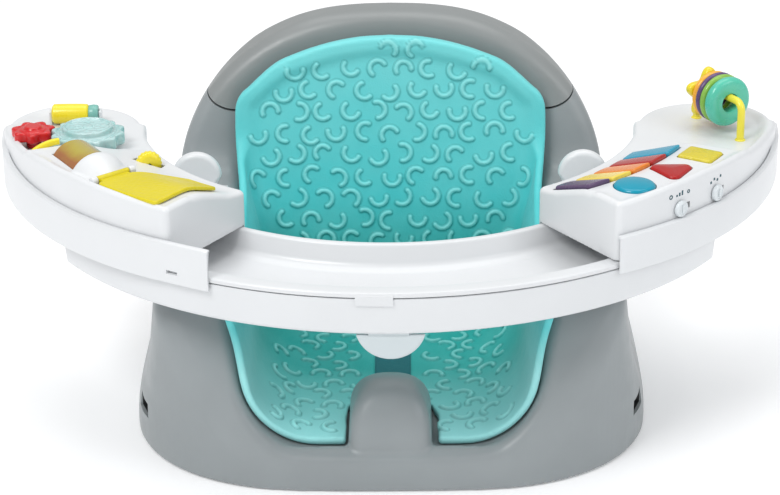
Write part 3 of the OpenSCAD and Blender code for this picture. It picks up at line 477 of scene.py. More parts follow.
def liner():
    from mathutils.bvhtree import BVHTree
    from mathutils.kdtree import KDTree
    ob = solid("liner", liner_field, (-131, -168, 24), (131, 142, 262), 2.1, 3)
    # the face that the child meets gets finer, so the ridges are real
    co = coords(ob)
    import bmesh
    bm = bmesh.new()
    bm.from_mesh(ob.data)
    bm.verts.ensure_lookup_table()
    inner = []
    mid = np.array([0.0, -40.0, 150.0])
    for f in bm.faces:
        c = np.array(f.calc_center_median()) / MM - [0, YO, 0]
        if abs(float(liner_in(F32(c[0]), F32(c[1]), F32(c[2])))) < 1.4:
            inner.append(f)
    bmesh.ops.subdivide_edges(bm, edges=list({e for f in inner for e in f.edges}), cuts=1, use_grid_fill=True)
    bmesh.ops.triangulate(bm, faces=[f for f in bm.faces if len(f.verts) > 4])
    bm.to_mesh(ob.data)
    bm.free()
    P = settle(liner_field, coords(ob), 2.1, 2)
    ob.data.vertices.foreach_set("co", ((P + [0, YO, 0]) * MM).astype(F32).ravel())
    ob.data.update()
    nor = np.zeros(len(P) * 3, F32)
    ob.data.vertices.foreach_get("normal", nor)
    nor = nor.reshape(-1, 3).astype(float)
    tri = [list(p.vertices) for p in ob.data.polygons]
    tree = BVHTree.FromPolygons([Vector(p) for p in P], tri)
    kd = KDTree(len(P))
    for i, p in enumerate(P):
        kd.insert(p, i)
    kd.balance()
    r, lift, foot, seen = rnd(5), np.zeros(len(P)), np.zeros(len(P)), []
    for start, look in arc_marks():
        hit, n, _, _ = tree.ray_cast(Vector(start), Vector(look))
        if hit is None or n.dot(Vector(look)) > -0.72:
            continue
        if any((hit - q).length < 17.4 for q in seen) or float(L_OUT_F(F32(hit.x), F32(hit.z))) > -8.4 and hit.z > 70:
            continue
        if abs(look[0]) > 0.5 and float(WING(F32(hit.y), F32(hit.z))) < 9 or hit.y < -155 or abs(hit.x - 1.5) < 24 and hit.y < 50 and hit.z < 45:
            continue
        seen.append(hit)
        a0, R, span = math.radians(45 * r.randint(0, 8) + r.uniform(-14, 14)), r.uniform(6.3, 6.9), r.uniform(1.5, 1.85)
        side_ = n.cross(Vector((0, 0, 1)) if abs(n.z) < 0.7 else Vector((0, -1, 0))).normalized()
        up = side_.cross(n).normalized()
        idx = np.array([i for _, i, _ in kd.find_range(hit, R + 5)])
        d = P[idx] - np.array(hit)
        ok = nor[idx] @ np.array(n) > 0.5
        idx, d = idx[ok], d[ok]
        u, v = d @ np.array(side_), d @ np.array(up)
        ang = (np.arctan2(v, u) - a0 + math.pi) % (2 * math.pi) - math.pi
        rad = np.hypot(u, v)
        e1 = np.stack([R * math.cos(a0 + span) - u, R * math.sin(a0 + span) - v])
        e2 = np.stack([R * math.cos(a0 - span) - u, R * math.sin(a0 - span) - v])
        dist = np.where(np.abs(ang) < span, np.abs(rad - R), np.minimum(np.hypot(*e1), np.hypot(*e2)))
        w = 2.0
        q = np.clip(1 - (dist / w) ** 2, 0, 1)
        lift[idx] = np.maximum(lift[idx], 2.0 * q ** 0.55)
        # a ring round the foot of each ridge, kept for a painted shadow there
        foot[idx] = np.maximum(foot[idx], np.exp(-((dist - 2.5) / 0.75) ** 2))
    P = P + nor * lift[:, None]
    ob.data.vertices.foreach_set("co", ((P + [0, YO, 0]) * MM).astype(F32).ravel())
    # the ridge height is kept for a painted highlight on the ridges in the foam colour
    at = ob.data.attributes.new("ridge", "FLOAT", "POINT")
    at.data.foreach_set("value", lift.astype(F32))
    at = ob.data.attributes.new("foot", "FLOAT", "POINT")
    at.data.foreach_set("value", foot.astype(F32))
    ob.data.update()
    ob.data.polygons.foreach_set("use_smooth", np.full(len(ob.data.polygons), True))
    return ob


# ------------------------------------------------------------------ swept and turned pieces
def rounded(pts, k=5):
    """A closed outline from (u, v, radius) corners."""
    out, n = [], len(pts)
    for i in range(n):
        a, b, c = (np.array(pts[j % n][:2], float) for j in (i - 1, i, i + 1))
        r = pts[i][2] if len(pts[i]) > 2 else 0
        u, v = a - b, c - b
        lu, lv = np.linalg.norm(u), np.linalg.norm(v)
        u, v = u / lu, v / lv
        half = math.acos(max(-1, min(1, float(u @ v)))) / 2
        if r <= 0 or half > math.pi / 2 - 0.02:
            out.append(tuple(b))
            continue
        t = min(r / math.tan(half), 0.49 * lu, 0.49 * lv)
        r = t * math.tan(half)
        m = b + (u + v) / np.linalg.norm(u + v) * (r / math.sin(half))
        p, q = b + u * t - m, b + v * t - m
        s, e = math.atan2(p[1], p[0]), math.atan2(q[1], q[0])
        while e - s > math.pi:
            e -= 2 * math.pi
        while s - e > math.pi:
            e += 2 * math.pi
        for j in range(k + 1):
            w = s + (e - s) * j / k
            out.append((m[0] + r * math.cos(w), m[1] + r * math.sin(w)))
    return out


def arc_xyz(r, deg, z):
    t = math.radians(deg)
    return (r * math.sin(t), ARC_Y - r * math.cos(t), z)


def loft(name, rings, closed=True, caps=True):
    """A mesh through a row of closed sections with the same number of points, in mm."""
    import bmesh
    bm = bmesh.new()
    rows = [[bm.verts.new(((p[0]) * MM, (p[1] + YO) * MM, p[2] * MM)) for p in ring] for ring in rings]
    n, m = len(rows), len(rows[0])
    for i in range(n - 1):
        for j in range(m):
            bm.faces.new((rows[i][j], rows[i][(j + 1) % m], rows[i + 1][(j + 1) % m], rows[i + 1][j]))
    if caps:
        f = [bm.faces.new(rows[0][::-1]), bm.faces.new(rows[-1])]
        bmesh.ops.triangulate(bm, faces=f, ngon_method="EAR_CLIP")
    bmesh.ops.recalc_face_normals(bm, faces=bm.faces)
    me = bpy.data.meshes.new(name)
    bm.to_mesh(me)
    bm.free()
    ob = bpy.data.objects.new(name, me)
    bpy.context.scene.collection.objects.link(ob)
    return ob


def turned(name, prof, at, axis, k=72, close=True):
    """A turned piece: prof is closed (radius, along) points, about a line through at."""
    a = Vector(axis).normalized()
    u = a.orthogonal().normalized()
    v = a.cross(u)
    rings = []
    for i in range(k):
        t = 2 * math.pi * i / k
        d = u * math.cos(t) + v * math.sin(t)
        rings.append([tuple(Vector(at) + d * max(r, 0.001) + a * s) for r, s in prof])
    rings.append(rings[0])
    import bmesh
    ob = loft(name, rings, caps=False)
    bm = bmesh.new()
    bm.from_mesh(ob.data)
    bmesh.ops.remove_doubles(bm, verts=bm.verts, dist=2e-6)
    bmesh.ops.dissolve_degenerate(bm, edges=bm.edges, dist=1e-6)
    bmesh.ops.recalc_face_normals(bm, faces=bm.faces)
    bm.to_mesh(ob.data)
    bm.free()
    return autosmooth(ob, 40)


def join(name, obs):
    """One object from several."""
    import bmesh
    bm = bmesh.new()
    for o in obs:
        bm.from_mesh(o.data)
    me = bpy.data.meshes.new(name)
    bm.to_mesh(me)
    bm.free()
    for o in obs:
        bpy.data.objects.remove(o)
    ob = bpy.data.objects.new(name, me)
    bpy.context.scene.collection.objects.link(ob)
    return ob


def bevelled(ob, w, seg=3, angle=30):
    m = ob.modifiers.new("v", "BEVEL")
    m.width, m.segments, m.limit_method, m.angle_limit = w * MM, seg, "ANGLE", math.radians(angle)
    m.harden_normals = False
    apply_all(ob)
    return autosmooth(ob, 40)


def box(name, c, s, w=0.0, rot=0.0):
    """A box in mm with bevelled edges, turned about Z by rot degrees."""
    t = math.radians(rot)
    pts = [(c[0] + a * s[0] / 2 * math.cos(t) - b * s[1] / 2 * math.sin(t), c[1] + a * s[0] / 2 * math.sin(t) + b * s[1] / 2 * math.cos(t))
           for a, b in ((-1, -1), (1, -1), (1, 1), (-1, 1))]
    ob = cutter(name, pts, c[2] - s[2] / 2, c[2] + s[2] / 2)
    return bevelled(ob, w) if w else ob


HALF, BZ, RZ = 56.5, 144.0, 178.0


def tray_top():
    prof = rounded([(297.5, 174.4, 0.5), (297.5, 178.1, 1.8), (284.8, 178.1, 2.2), (280.2, 162.0, 5.5), (276, 160.4, 8), (222, 160.4, 10), (214.5, 163.2, 7), (208.8, 178.1, 2.6),
                    (203, 178.1, 2.0), (203, 171.7, 0.5), (205.3, 171.7, 0.4), (205.3, 175.7, 0.8), (207.2, 175.7, 0.8), (212.6, 161.8, 5), (220.6, 158.0, 7), (277, 158.0, 6),
                    (282.6, 160.6, 4), (287.0, 175.7, 1), (294.9, 175.7, 0.8), (294.9, 174.4, 0.4)], 6)
    th = np.linspace(-HALF, HALF, 200)
    top = autosmooth(loft("t", [[arc_xyz(r, a, z) for r, z in prof] for a in th]), 50)
    # snap tab in the lip, left of the middle
    tp = rounded([(295.6, 168.0, 0.3), (297.8, 168.0, 0.9), (298.1, 176.2, 1.0), (295.6, 177.2, 0.4)], 4)
    th = np.linspace(-4.55, 0.65, 14)
    tab = autosmooth(loft("t", [[arc_xyz(r, a, z) for r, z in tp] for a in th]), 50)
    return join("tray_upper", [top, tab])


def tray_base():
    prof = rounded([(203.7, 171.4, 0.4), (205.7, 144.0, 3.0), (294.2, 144.0, 4.2), (296.9, 173.3, 0.7), (294.4, 173.3, 0.4), (292.1, 146.5, 3), (208.2, 146.5, 2), (206.3, 171.4, 0.4)], 6)
    th = np.linspace(-HALF, HALF, 200)
    pan = autosmooth(loft("t", [[arc_xyz(r, a, z) for r, z in prof] for a in th]), 50)
    wall = rounded([(204.4, 170.4, 0.5), (206.0, 144.6, 2.6), (293.6, 144.6, 3.6), (296.2, 172.4, 0.5), (277, 157.4, 2), (221, 157.4, 2)], 5)
    parts = [pan]
    for s in (-1, 1):
        parts.append(autosmooth(loft("t", [[arc_xyz(r, s * a, z) for r, z in wall] for a in (HALF - 0.65, HALF - 0.02)]), 50))
        arm = [(129, 14), (175, 14), (175, -32.2)] + [arc_xyz(205.4, a, 0)[:2] for a in np.linspace(57.9, 39.1, 12)]
        arm = cutter("arm", [(s * x, y) for x, y in arm], BZ + 0.3, 168)
        cut(arm, cutter("c", [(s * 133.6, -8.6), (s * 170.8, -8.6), (s * 170.8, 11.4), (s * 133.6, 11.4)], BZ - 3, 190))
        parts.append(bevelled(arm, 1.6))
        for a in (22, 48):
            parts.append(turned("t", rounded([(0, 0, 0), (4.5, 0, 0), (4.5, 12.8, 0), (0, 12.8, 0)], 2), arc_xyz(248, s * a, BZ + 1), (0, 0, 1), 24))
    parts.append(box("t", (0, -201.5, BZ + 5.6), (38, 25, 7.4), 1.0))
    return join("tray_lower", parts)


def tab_field(x, y, z):
    d = np.hypot(x - 1.4, z - 149.6) - 25.6
    d = rand_(d, z - 143.4, 0.8)
    # the face bulges a little
    face = np.abs(y + 215.3) - 2.1
    return rand_(d, face, 1.9)


def tab():
    ob = solid("tab", tab_field, (-25, -218, 123), (28, -213, 144), 0.9, 3)
    return join("pull_tab", [ob, box("t", (0, -215.3, 145.5), (29.6, 4.0, 5.2), 0.6), box("t", (0, -212.8, 148.4), (29.6, 9.2, 2.6), 0.6)])


def latch_field(s):
    out = Outline(rounded([(134.1, 149.4, 6), (170.3, 149.4, 6), (170.3, 181.5, 0)], 5)[:-1] +
                  [(152.2 + 19.3 * math.cos(math.radians(a)), 181.6 + 19.3 * math.sin(math.radians(a))) for a in range(0, 181, 6)], 0.5, 20)

    def f(x, y, z):
        # thinner towards the top, as a finger plate is
        t = 5.55 - 0.9 * np.clip((z - 178) / 22, 0, 1) ** 2
        return rand_(out(s * x, z), np.abs(y - 1) - t, 3.6)
    return f


def latch(s, name):
    lo, hi = sorted((s * 131.5, s * 173))
    return thin(solid(name, latch_field(s), (lo, -5, 148), (hi, 7, 202.5), 1.0, 3), 0.6)


# ------------------------------------------------------------------ pods, as on the right
OX, OY, OR_, PRI = 22.0, 78.0, 287.0, 199.8
CAPC = arc_xyz(254.1, 82.7, 0)
PIANO_A, GEAR_A = 33.9, 32.4
BIG, RED = (235.5, -6.0), (279.2, 0.0)


def smin(a, b, k):
    h = np.maximum(k - np.abs(a - b), 0) / k
    return np.minimum(a, b) - h * h * k * 0.25


def step01(t):
    t = np.clip(t, 0, 1)
    return t * t * (3 - 2 * t)


def wall_R(deg, rad=OR_):
    """Distance from the arc centre to the round outer wall."""
    t = math.radians(deg)
    d = OX * math.sin(t) - (OY - ARC_Y) * math.cos(t)
    q = OX * math.cos(t) + (OY - ARC_Y) * math.sin(t)
    return d + math.sqrt(rad * rad - q * q)


RIM_T = [30, 36, 43, 51, 60, 69.6, 78, 88, 98, 120]
RIM_R = [222.7, 223.6, 226.0, 227.2, 224.6, 219.0, 213.6, 210.2, 208.6, 208.0]
RIM_L = [222.7, 223.4, 225.2, 226.4, 224.8, 219.4, 213.6, 210.2, 208.6, 208.0]


def pod_field(a0, st, rim, gear):
    c0, s0 = math.cos(math.radians(a0)), math.sin(math.radians(a0))
    c1, s1 = math.cos(math.radians(st)), math.sin(math.radians(st))
    c2, s2 = math.cos(math.radians(82.7)), math.sin(math.radians(82.7))

    def f(x, y, z):
        m = y - F32(ARC_Y)
        R, th = np.hypot(x, m), np.degrees(np.arctan2(x, -m))
        out = np.hypot(x - F32(OX), y - F32(OY)) - F32(OR_)
        e = -(x * F32(c0) + m * F32(s0))
        s = x * F32(c2) + m * F32(s2)
        sector = rand_(np.maximum(out, PRI - R), e, 4.5)
        sector = np.maximum(sector, s)
        cap = np.hypot(x - F32(CAPC[0]), y - F32(CAPC[1])) - 52.7
        plan = ror_(sector, cap, 10)
        d = -np.maximum(out, plan)
        zr = np.interp(th, RIM_T, rim).astype(F32)
        lift = 1 - step01((d - 4) / 7.5)
        surf = 205 + (R - 206) * F32(17.5 / 51)
        zb = smin(surf, F32(222.5) + 0 * R, 3)
        far = step01((R - 262) / 14)
        zb = zb + np.maximum(zr - zb, 0) * lift * far
        zd = 207 + np.maximum(zr - 207, 0) * (1 - step01((d - 3.5) / 10)) * step01((R - 250) / 20)
        block = z - zb
        plane = x * F32(c1) + m * F32(s1)
        block = rand_(block, plane, 4.5)
        if gear:
            block = rand_(block, 30.8 - np.hypot(x - BIG[0], y - BIG[1]), 1.8)
        top = ror_(block, z - zd, 2.5)
        body = rand_(plan, top, 5.0)
        return body
    return f


def pod_low(x, y):
    """How far down the walls reach: a little lower at the inner rim."""
    m = y - F32(ARC_Y)
    return 179 - 3.4 * step01((203.4 - np.hypot(x, m)) / 1.0) * (np.degrees(np.arctan2(x, -m)) < 73)


def skirt(name, th0, th1, z_low, near=None, gap=0.45):
    """The ledge and skirt that hang over the tray's outer rim, with a fine gap to the wall."""
    rings = []
    for a in np.concatenate([np.linspace(th0, th0 + 1.2, 5), np.linspace(th0 + 2, th1 - 6, 70), np.linspace(th1 - 5.6, th1, 16)]):
        R = wall_R(a, OR_ + 5)
        if near and a < near:
            R = max(R, 300.8)
        R = R + 0.35 * max(0.0, 1 - abs(a - (near or 0)) / 4) * (1 if near else 0)
        # the lower corner at the far end is rounded off, and the near end is eased
        t = max(0.0, (a - (th1 - 6)) / 6)
        zl = z_low + 22 * (1 - math.sqrt(max(0.0, 1 - t * t)))
        n = 0.35 * (1 - min(1, (a - th0) / 1.0)) ** 2
        ri = max(R - 4.6, wall_R(a) + gap) if not near or a > near - 1.5 else R - 4.6
        sec = rounded([(ri, 198.0, 0.2), (ri, 200.0 - n, 0.7), (R - n, 200.0 - n, 1.9), (R - n, zl, 0.9), (R - 2.4 + n, zl, 0.4), (R - 2.4 + n, 197.6, 0.8)], 4)
        rings.append([arc_xyz(r, a, z) for r, z in sec])
    return autosmooth(loft(name, rings), 50)


def arc_frame(r, deg):
    """Turns local (x outward, y along the arc) into seat coordinates."""
    t = math.radians(deg)
    o = arc_xyz(r, deg, 0)
    return lambda u, v: (o[0] + u * math.sin(t) + v * math.cos(t), o[1] - u * math.cos(t) + v * math.sin(t))


def sector_pts(r0, r1, t0, t1, k=10):
    return [arc_xyz(r0, a, 0)[:2] for a in np.linspace(t0, t1, k)] + [arc_xyz(r1, a, 0)[:2] for a in np.linspace(t1, t0, k)]


def circle_pts(c, r, k=48):
    return [(c[0] + r * math.cos(2 * math.pi * i / k), c[1] + r * math.sin(2 * math.pi * i / k)) for i in range(k)]


KEY_A = [34.9 + 5.2 * i for i in range(6)]
BLUE_P, REDB_P, SQ_P = (274, 41.1), (274.8, 50), (276, 58.4)


def tri_pts(s, r=5.5, k=7):
    return rounded([(s * math.cos(math.radians(a)), s * math.sin(math.radians(a)), r) for a in (70.4, 190.4, 310.4)], k)


def sq_pts(s, r=2.5, k=5):
    return rounded([(-s - 1, -s + 1, r), (s + 1, -s + 1, r), (s + 1, s - 1, r), (-s - 1, s - 1, r)], k)


def placed(pts, p, mirror=False):
    fr = arc_frame(*p)
    out = [fr(u, v) for u, v in pts]
    return [(-x, y) for x, y in out] if mirror else out


def switch_frame(deg):
    """Origin on the outer wall at that angle, and the outward direction in degrees."""
    p = arc_xyz(wall_R(deg), deg, 206.8)
    return p, math.degrees(math.atan2(p[1] - OY, p[0] - OX))


SW = (46, 54.2)


def piano_cover():
    f = pod_field(PIANO_A, 64, RIM_R, False)
    ob = hollow("piano", lambda x, y, z: np.maximum(f(x, y, z), pod_low(x, y) - z), lambda x, y, z: np.maximum(f(x, y, z) + 2.5, 172 - z),
                (106, -176, 171), (308, 113, 229), 1.25, 2.2)
    cut(ob, cutter("c", sector_pts(214.2, 255.5, KEY_A[0] - 0.14, KEY_A[5] + 0.14, 14), 196, 240))
    cut(ob, cutter("c", placed(circle_pts((0, 0), 16.1), BLUE_P), 205, 240))
    cut(ob, cutter("c", placed(tri_pts(23.3), REDB_P), 205, 240))
    cut(ob, cutter("c", placed(sq_pts(13.5), SQ_P), 205, 240))
    for a in SW:
        p, n = switch_frame(a)
        cut(ob, box("c", p, (26, 15, 5), 0, n))
    thin(ob, 0.5)
    autosmooth(ob, 40)
    sk = skirt("sk", PIANO_A, 88, 171)
    return join("piano_cover", [ob, sk])


def mirrored(ob):
    """The same mesh on the other side."""
    co = np.zeros(len(ob.data.vertices) * 3, F32)
    ob.data.vertices.foreach_get("co", co)
    co[0::3] *= -1
    ob.data.vertices.foreach_set("co", co)
    ob.data.flip_normals()
    ob.data.update()
    return ob


DRUM_A, DRUM_R0, DRUM_Z, DRUM_R = 58.7, 271.0, 211.0, 20.0


def drum_local(x, y):
    """Seat coordinates to the drum's frame: outward, along its axis."""
    t = math.radians(DRUM_A)
    o = arc_xyz(DRUM_R0, DRUM_A, 0)
    dx, dy = x - F32(o[0]), y - F32(o[1])
    return dx * F32(math.sin(t)) - dy * F32(math.cos(t)), dx * F32(math.cos(t)) + dy * F32(math.sin(t))


def gear_cover():
    base = pod_field(GEAR_A, 66.4, RIM_L, True)

    def f(x, y, z):
        v = base(x, y, z)
        u, s = drum_local(x, y)
        tube = np.hypot(u, z - DRUM_Z)
        # the hood runs out into the top of the block
        hood = rand_(rand_((tube - (23.2 - 12.2 * step01((-25 - s) / 34) ** 0.9)) * 0.92, np.abs(s + 40) - 18, 2.4), 219.5 - z, 0.5)
        return np.maximum(ror_(v, hood, 2.5), pod_low(x, y) - z)
    ob = hollow("gearpod", f, lambda x, y, z: np.maximum(base(x, y, z) + 2.5, 172 - z), (104, -180, 171), (308, 113, 236), 1.25, 2.2)
    # the window over the drum, and the slot for the wheel
    ax = (math.cos(math.radians(DRUM_A)), math.sin(math.radians(DRUM_A)), 0)
    o = arc_xyz(DRUM_R0, DRUM_A, DRUM_Z)
    tube = turned("c", [(0, -22.6), (20.8, -22.6), (20.8, 19.8), (0, 19.8)], o, ax, 96)
    cut(ob, tube)
    cut(ob, box("c", (184.5, -45.5, 211), (23.6, 9.8, 30), 0, 15))
    thin(ob, 0.5)
    autosmooth(ob, 40)
    bits = [ob]
    for x in (231.6, 271.3):
        bits.append(box("b", (x + 1.2, 52, 212), (2.4, 8, 13), 0.8))
    for r in (256.4, 290.4):
        p = arc_xyz(r + 2.5, 47.7, 225.5)
        d = (math.sin(math.radians(47.7)), -math.cos(math.radians(47.7)), 0)
        bits.append(turned("k", rounded([(0, -2.5, 0), (3, -2.5, 0.6), (3, 2.5, 0.6), (0, 2.5, 0)], 3), p, d, 32))
        bits.append(box("b", (p[0], p[1], 222), (4.4, 4.8, 7), 0.3, 47.7 - 90))
    sk = skirt("sk", 25.5, 88, 168.5, near=34.5, gap=-0.5)
    # small slot in the skirt
    fr = arc_frame(301, 31.3)
    c = fr(0, 0)
    cut(sk, box("c", (c[0], c[1], 177.4), (10, 9.6, 2.8), 0, 31.3 - 90))
    bits.append(sk)
    for b in bits:
        mirrored(b)
    return join("gear_pod_top", bits)


# ------------------------------------------------------------------ materials
def new_mat(name):
    m = bpy.data.materials.new(name)
    m.use_nodes = True
    nt = m.node_tree
    nt.nodes.clear()
    out = nt.nodes.new("ShaderNodeOutputMaterial")
    bs = nt.nodes.new("ShaderNodeBsdfPrincipled")
    nt.links.new(bs.outputs[0], out.inputs[0])
    tc = nt.nodes.new("ShaderNodeTexCoord")
    return m, nt, bs, tc.outputs["Object"]


def srgb(*c):
    return [(v / 255 / 12.92 if v / 255 <= 0.04045 else ((v / 255 + 0.055) / 1.055) ** 2.4) for v in c] + [1.0]


def noise(nt, vec, scale, detail=3.0, rough=0.5):
    n = nt.nodes.new("ShaderNodeTexNoise")
    n.inputs["Scale"].default_value = scale
    n.inputs["Detail"].default_value = detail
    n.inputs["Roughness"].default_value = rough
    nt.links.new(vec, n.inputs["Vector"])
    return n.outputs["Fac"]


def rangemap(nt, val, a, b, c, d):
    n = nt.nodes.new("ShaderNodeMapRange")
    for i, v in zip(("From Min", "From Max", "To Min", "To Max"), (a, b, c, d)):
        n.inputs[i].default_value = v
    nt.links.new(val, n.inputs["Value"])
    return n.outputs["Result"]


def mixcol(nt, fac, a, b, kind="MIX"):
    n = nt.nodes.new("ShaderNodeMix")
    n.data_type, n.blend_type = "RGBA", kind
    for val, key in ((fac, 0), (a, 6), (b, 7)):
        if hasattr(val, "default_value"):
            nt.links.new(val, n.inputs[key])
        else:
            n.inputs[key].default_value = val
    return n.outputs[2]


def bump(nt, height, strength, dist, normal=None):
    n = nt.nodes.new("ShaderNodeBump")
    n.inputs["Strength"].default_value = strength
    n.inputs["Distance"].default_value = dist
    nt.links.new(height, n.inputs["Height"])
    if normal is not None:
        nt.links.new(normal, n.inputs["Normal"])
    return n.outputs["Normal"]


def plastic(name, col, rough=0.34, grain=0.10, grain_scale=900.0, vary=0.05, coat=0.0, spec=0.5, tex=None, wear=0.10, trans=0.0, sss=0.0, rv=0.05):
    """Moulded plastic: slight flow in the colour, uneven gloss, a fine grain, and edges rubbed a little paler."""
    m, nt, bs, vec = new_mat(name)
    c = srgb(*col)
    dark = [v * (1 - vary) for v in c[:3]] + [1]
    light = [min(1, v * (1 + vary)) for v in c[:3]] + [1]
    flow = noise(nt, vec, 14, 4, 0.55)
    base = mixcol(nt, rangemap(nt, flow, 0.35, 0.65, 0, 1), dark, light)
    if wear:
        geo = nt.nodes.new("ShaderNodeNewGeometry")
        edge = rangemap(nt, geo.outputs["Pointiness"], 0.52, 0.60, 0, wear)
        base = mixcol(nt, edge, base, [min(1, v * 1.25 + 0.06) for v in c[:3]] + [1])
    nt.links.new(base, bs.inputs["Base Color"])
    mid = noise(nt, vec, 60, 3, 0.6)
    nt.links.new(rangemap(nt, mid, 0.3, 0.7, rough - rv * 0.9, rough + rv * 1.2), bs.inputs["Roughness"])
    fine = noise(nt, vec, grain_scale, 2, 0.6)
    n = bump(nt, fine, grain, 0.0004)
    if tex:
        n = tex(nt, vec, n)
    nt.links.new(n, bs.inputs["Normal"])
    bs.inputs["Specular IOR Level"].default_value = spec
    if coat:
        bs.inputs["Coat Weight"].default_value = coat
        bs.inputs["Coat Roughness"].default_value = 0.12
    if trans:
        bs.inputs["Transmission Weight"].default_value = trans
        bs.inputs["IOR"].default_value = 1.49
    if sss:
        bs.inputs["Subsurface Weight"].default_value = sss
        bs.inputs["Subsurface Radius"].default_value = (0.006, 0.006, 0.006)
        bs.inputs["Subsurface Scale"].default_value = 1.0
    return m


def pebbles(scale=620.0, strength=0.55, dist=0.0009):
    def tex(nt, vec, n):
        v = nt.nodes.new("ShaderNodeTexVoronoi")
        v.feature = "SMOOTH_F1"
        v.inputs["Scale"].default_value = scale
        nt.links.new(vec, v.inputs["Vector"])
        return bump(nt, v.outputs["Distance"], strength, dist, n)
    return tex


def foam_mat():
    """Closed-cell foam with a skin and tiny cells. Its colour holds painted light and shade: deeper down in the seat,
    paler high up and paler at the front, with a painted highlight on the ridges and a painted shadow round their feet.
    """
    m, nt, bs, vec = new_mat("foam_teal")
    sep = nt.nodes.new("ShaderNodeSeparateXYZ")
    nt.links.new(vec, sep.inputs[0])
    # painted shade and light by height: darker low in the seat, paler high up
    base = mixcol(nt, rangemap(nt, sep.outputs["Z"], 0.065, 0.128, 0, 1), srgb(4, 153, 147), srgb(62, 196, 199))
    base = mixcol(nt, rangemap(nt, sep.outputs["Z"], 0.12, 0.25, 0, 1), base, srgb(112, 212, 214))
    # painted light: paler towards the front of the seat, fading out higher up
    front_light = nt.nodes.new("ShaderNodeMath")
    front_light.operation = "MULTIPLY"
    nt.links.new(rangemap(nt, sep.outputs["Y"], -0.03, -0.145, 0, 1), front_light.inputs[0])
    nt.links.new(rangemap(nt, sep.outputs["Z"], 0.085, 0.125, 1, 0.12), front_light.inputs[1])
    base = mixcol(nt, front_light.outputs[0], base, srgb(150, 219, 219))
    flow = noise(nt, vec, 22, 5, 0.6)
    base = mixcol(nt, rangemap(nt, flow, 0.3, 0.7, 0, 0.16), base, srgb(150, 224, 222))
    # painted highlight along the raised ridges
    at = nt.nodes.new("ShaderNodeAttribute")
    at.attribute_name = "ridge"
    base = mixcol(nt, rangemap(nt, at.outputs["Fac"], 0.5, 1.7, 0, 0.42), base, srgb(158, 230, 227))
    # painted shadow round the foot of each ridge
    at = nt.nodes.new("ShaderNodeAttribute")
    at.attribute_name = "foot"
    base = mixcol(nt, rangemap(nt, at.outputs["Fac"], 0.15, 1.0, 0, 0.42), base, srgb(10, 120, 118))
    # painted shade: the bottom of the channel is darker
    low = rangemap(nt, sep.outputs["Z"], 0.0342, 0.0332, 0, 1)
    for axis_, a, b in (("X", -0.0135, -0.0125), ("X", 0.0165, 0.0155), ("Y", 0.0595, 0.0585)):
        mul = nt.nodes.new("ShaderNodeMath")
        mul.operation = "MULTIPLY"
        nt.links.new(low, mul.inputs[0])
        nt.links.new(rangemap(nt, sep.outputs[axis_], a, b, 0, 1), mul.inputs[1])
        low = mul.outputs[0]
    base = mixcol(nt, low, base, srgb(8, 92, 100))
    nt.links.new(base, bs.inputs["Base Color"])
    nt.links.new(rangemap(nt, noise(nt, vec, 90, 3, 0.6), 0.3, 0.7, 0.42, 0.56), bs.inputs["Roughness"])
    v = nt.nodes.new("ShaderNodeTexVoronoi")
    v.inputs["Scale"].default_value = 900
    nt.links.new(vec, v.inputs["Vector"])
    n = bump(nt, v.outputs["Distance"], 0.22, 0.0005)
    n = bump(nt, noise(nt, vec, 300, 4, 0.6), 0.16, 0.0006, n)
    nt.links.new(n, bs.inputs["Normal"])
    bs.inputs["Sheen Weight"].default_value = 0.12
    bs.inputs["Sheen Roughness"].default_value = 0.5
    bs.inputs["Specular IOR Level"].default_value = 0.42
    return m


def metal(name, col, rough=0.28):
    m, nt, bs, vec = new_mat(name)
    bs.inputs["Metallic"].default_value = 1.0
    nt.links.new(mixcol(nt, rangemap(nt, noise(nt, vec, 120, 3), 0.3, 0.7, 0, 1), srgb(*col), srgb(*[min(255, v + 14) for v in col])), bs.inputs["Base Color"])
    nt.links.new(rangemap(nt, noise(nt, vec, 500, 3), 0.3, 0.7, rough - 0.06, rough + 0.1), bs.inputs["Roughness"])
    nt.links.new(bump(nt, noise(nt, vec, 1500, 2), 0.12, 0.0002), bs.inputs["Normal"])
    return m


def paint(ob, mat):
    ob.data.materials.clear()
    ob.data.materials.append(mat)
    ob.data.polygons.foreach_set("material_index", np.zeros(len(ob.data.polygons), np.int32))
    return ob


# ------------------------------------------------------------------ toys
def surf(r):
    return 205 + (r - 206) * 17.5 / 51


def key(i, name):
    a0, a1 = KEY_A[i] + 0.16, KEY_A[i + 1] - 0.16
    c0, s0, c1, s1 = math.cos(math.radians(a0)), math.sin(math.radians(a0)), math.cos(math.radians(a1)), math.sin(math.radians(a1))

    def f(x, y, z):
        m = y - F32(ARC_Y)
        R = np.hypot(x, m)
        e = np.maximum(-(x * F32(c0) + m * F32(s0)), x * F32(c1) + m * F32(s1))
        p = rand_(np.maximum(215 - R, R - 255), e, 2.2)
        # the top is a little crowned across the key
        crown = 0.55 * np.clip(1 + e / 10.5, 0, 1) ** 2
        top = z - (surf(R) + 3.25 - crown)
        return rand_(rand_(p, top, 1.7), surf(R) - 4.4 - z, 0.6)
    pts = sector_pts(215, 255, a0, a1, 6)
    P = np.array(pts)
    lo = (P[:, 0].min(), P[:, 1].min(), 203)
    hi = (P[:, 0].max() + 0.5, P[:, 1].max() + 1, 227)
    top = solid(name, f, lo, hi, 0.85, 3)
    c = arc_xyz(247, (a0 + a1) / 2, 0)
    stem = turned("t", rounded([(0, 206.6, 0), (2.5, 206.6, 0.4), (2.5, 215.6, 0.2), (0, 215.6, 0)], 2), (c[0], c[1], 0), (0, 0, 1), 24)
    return join(name, [top, stem])


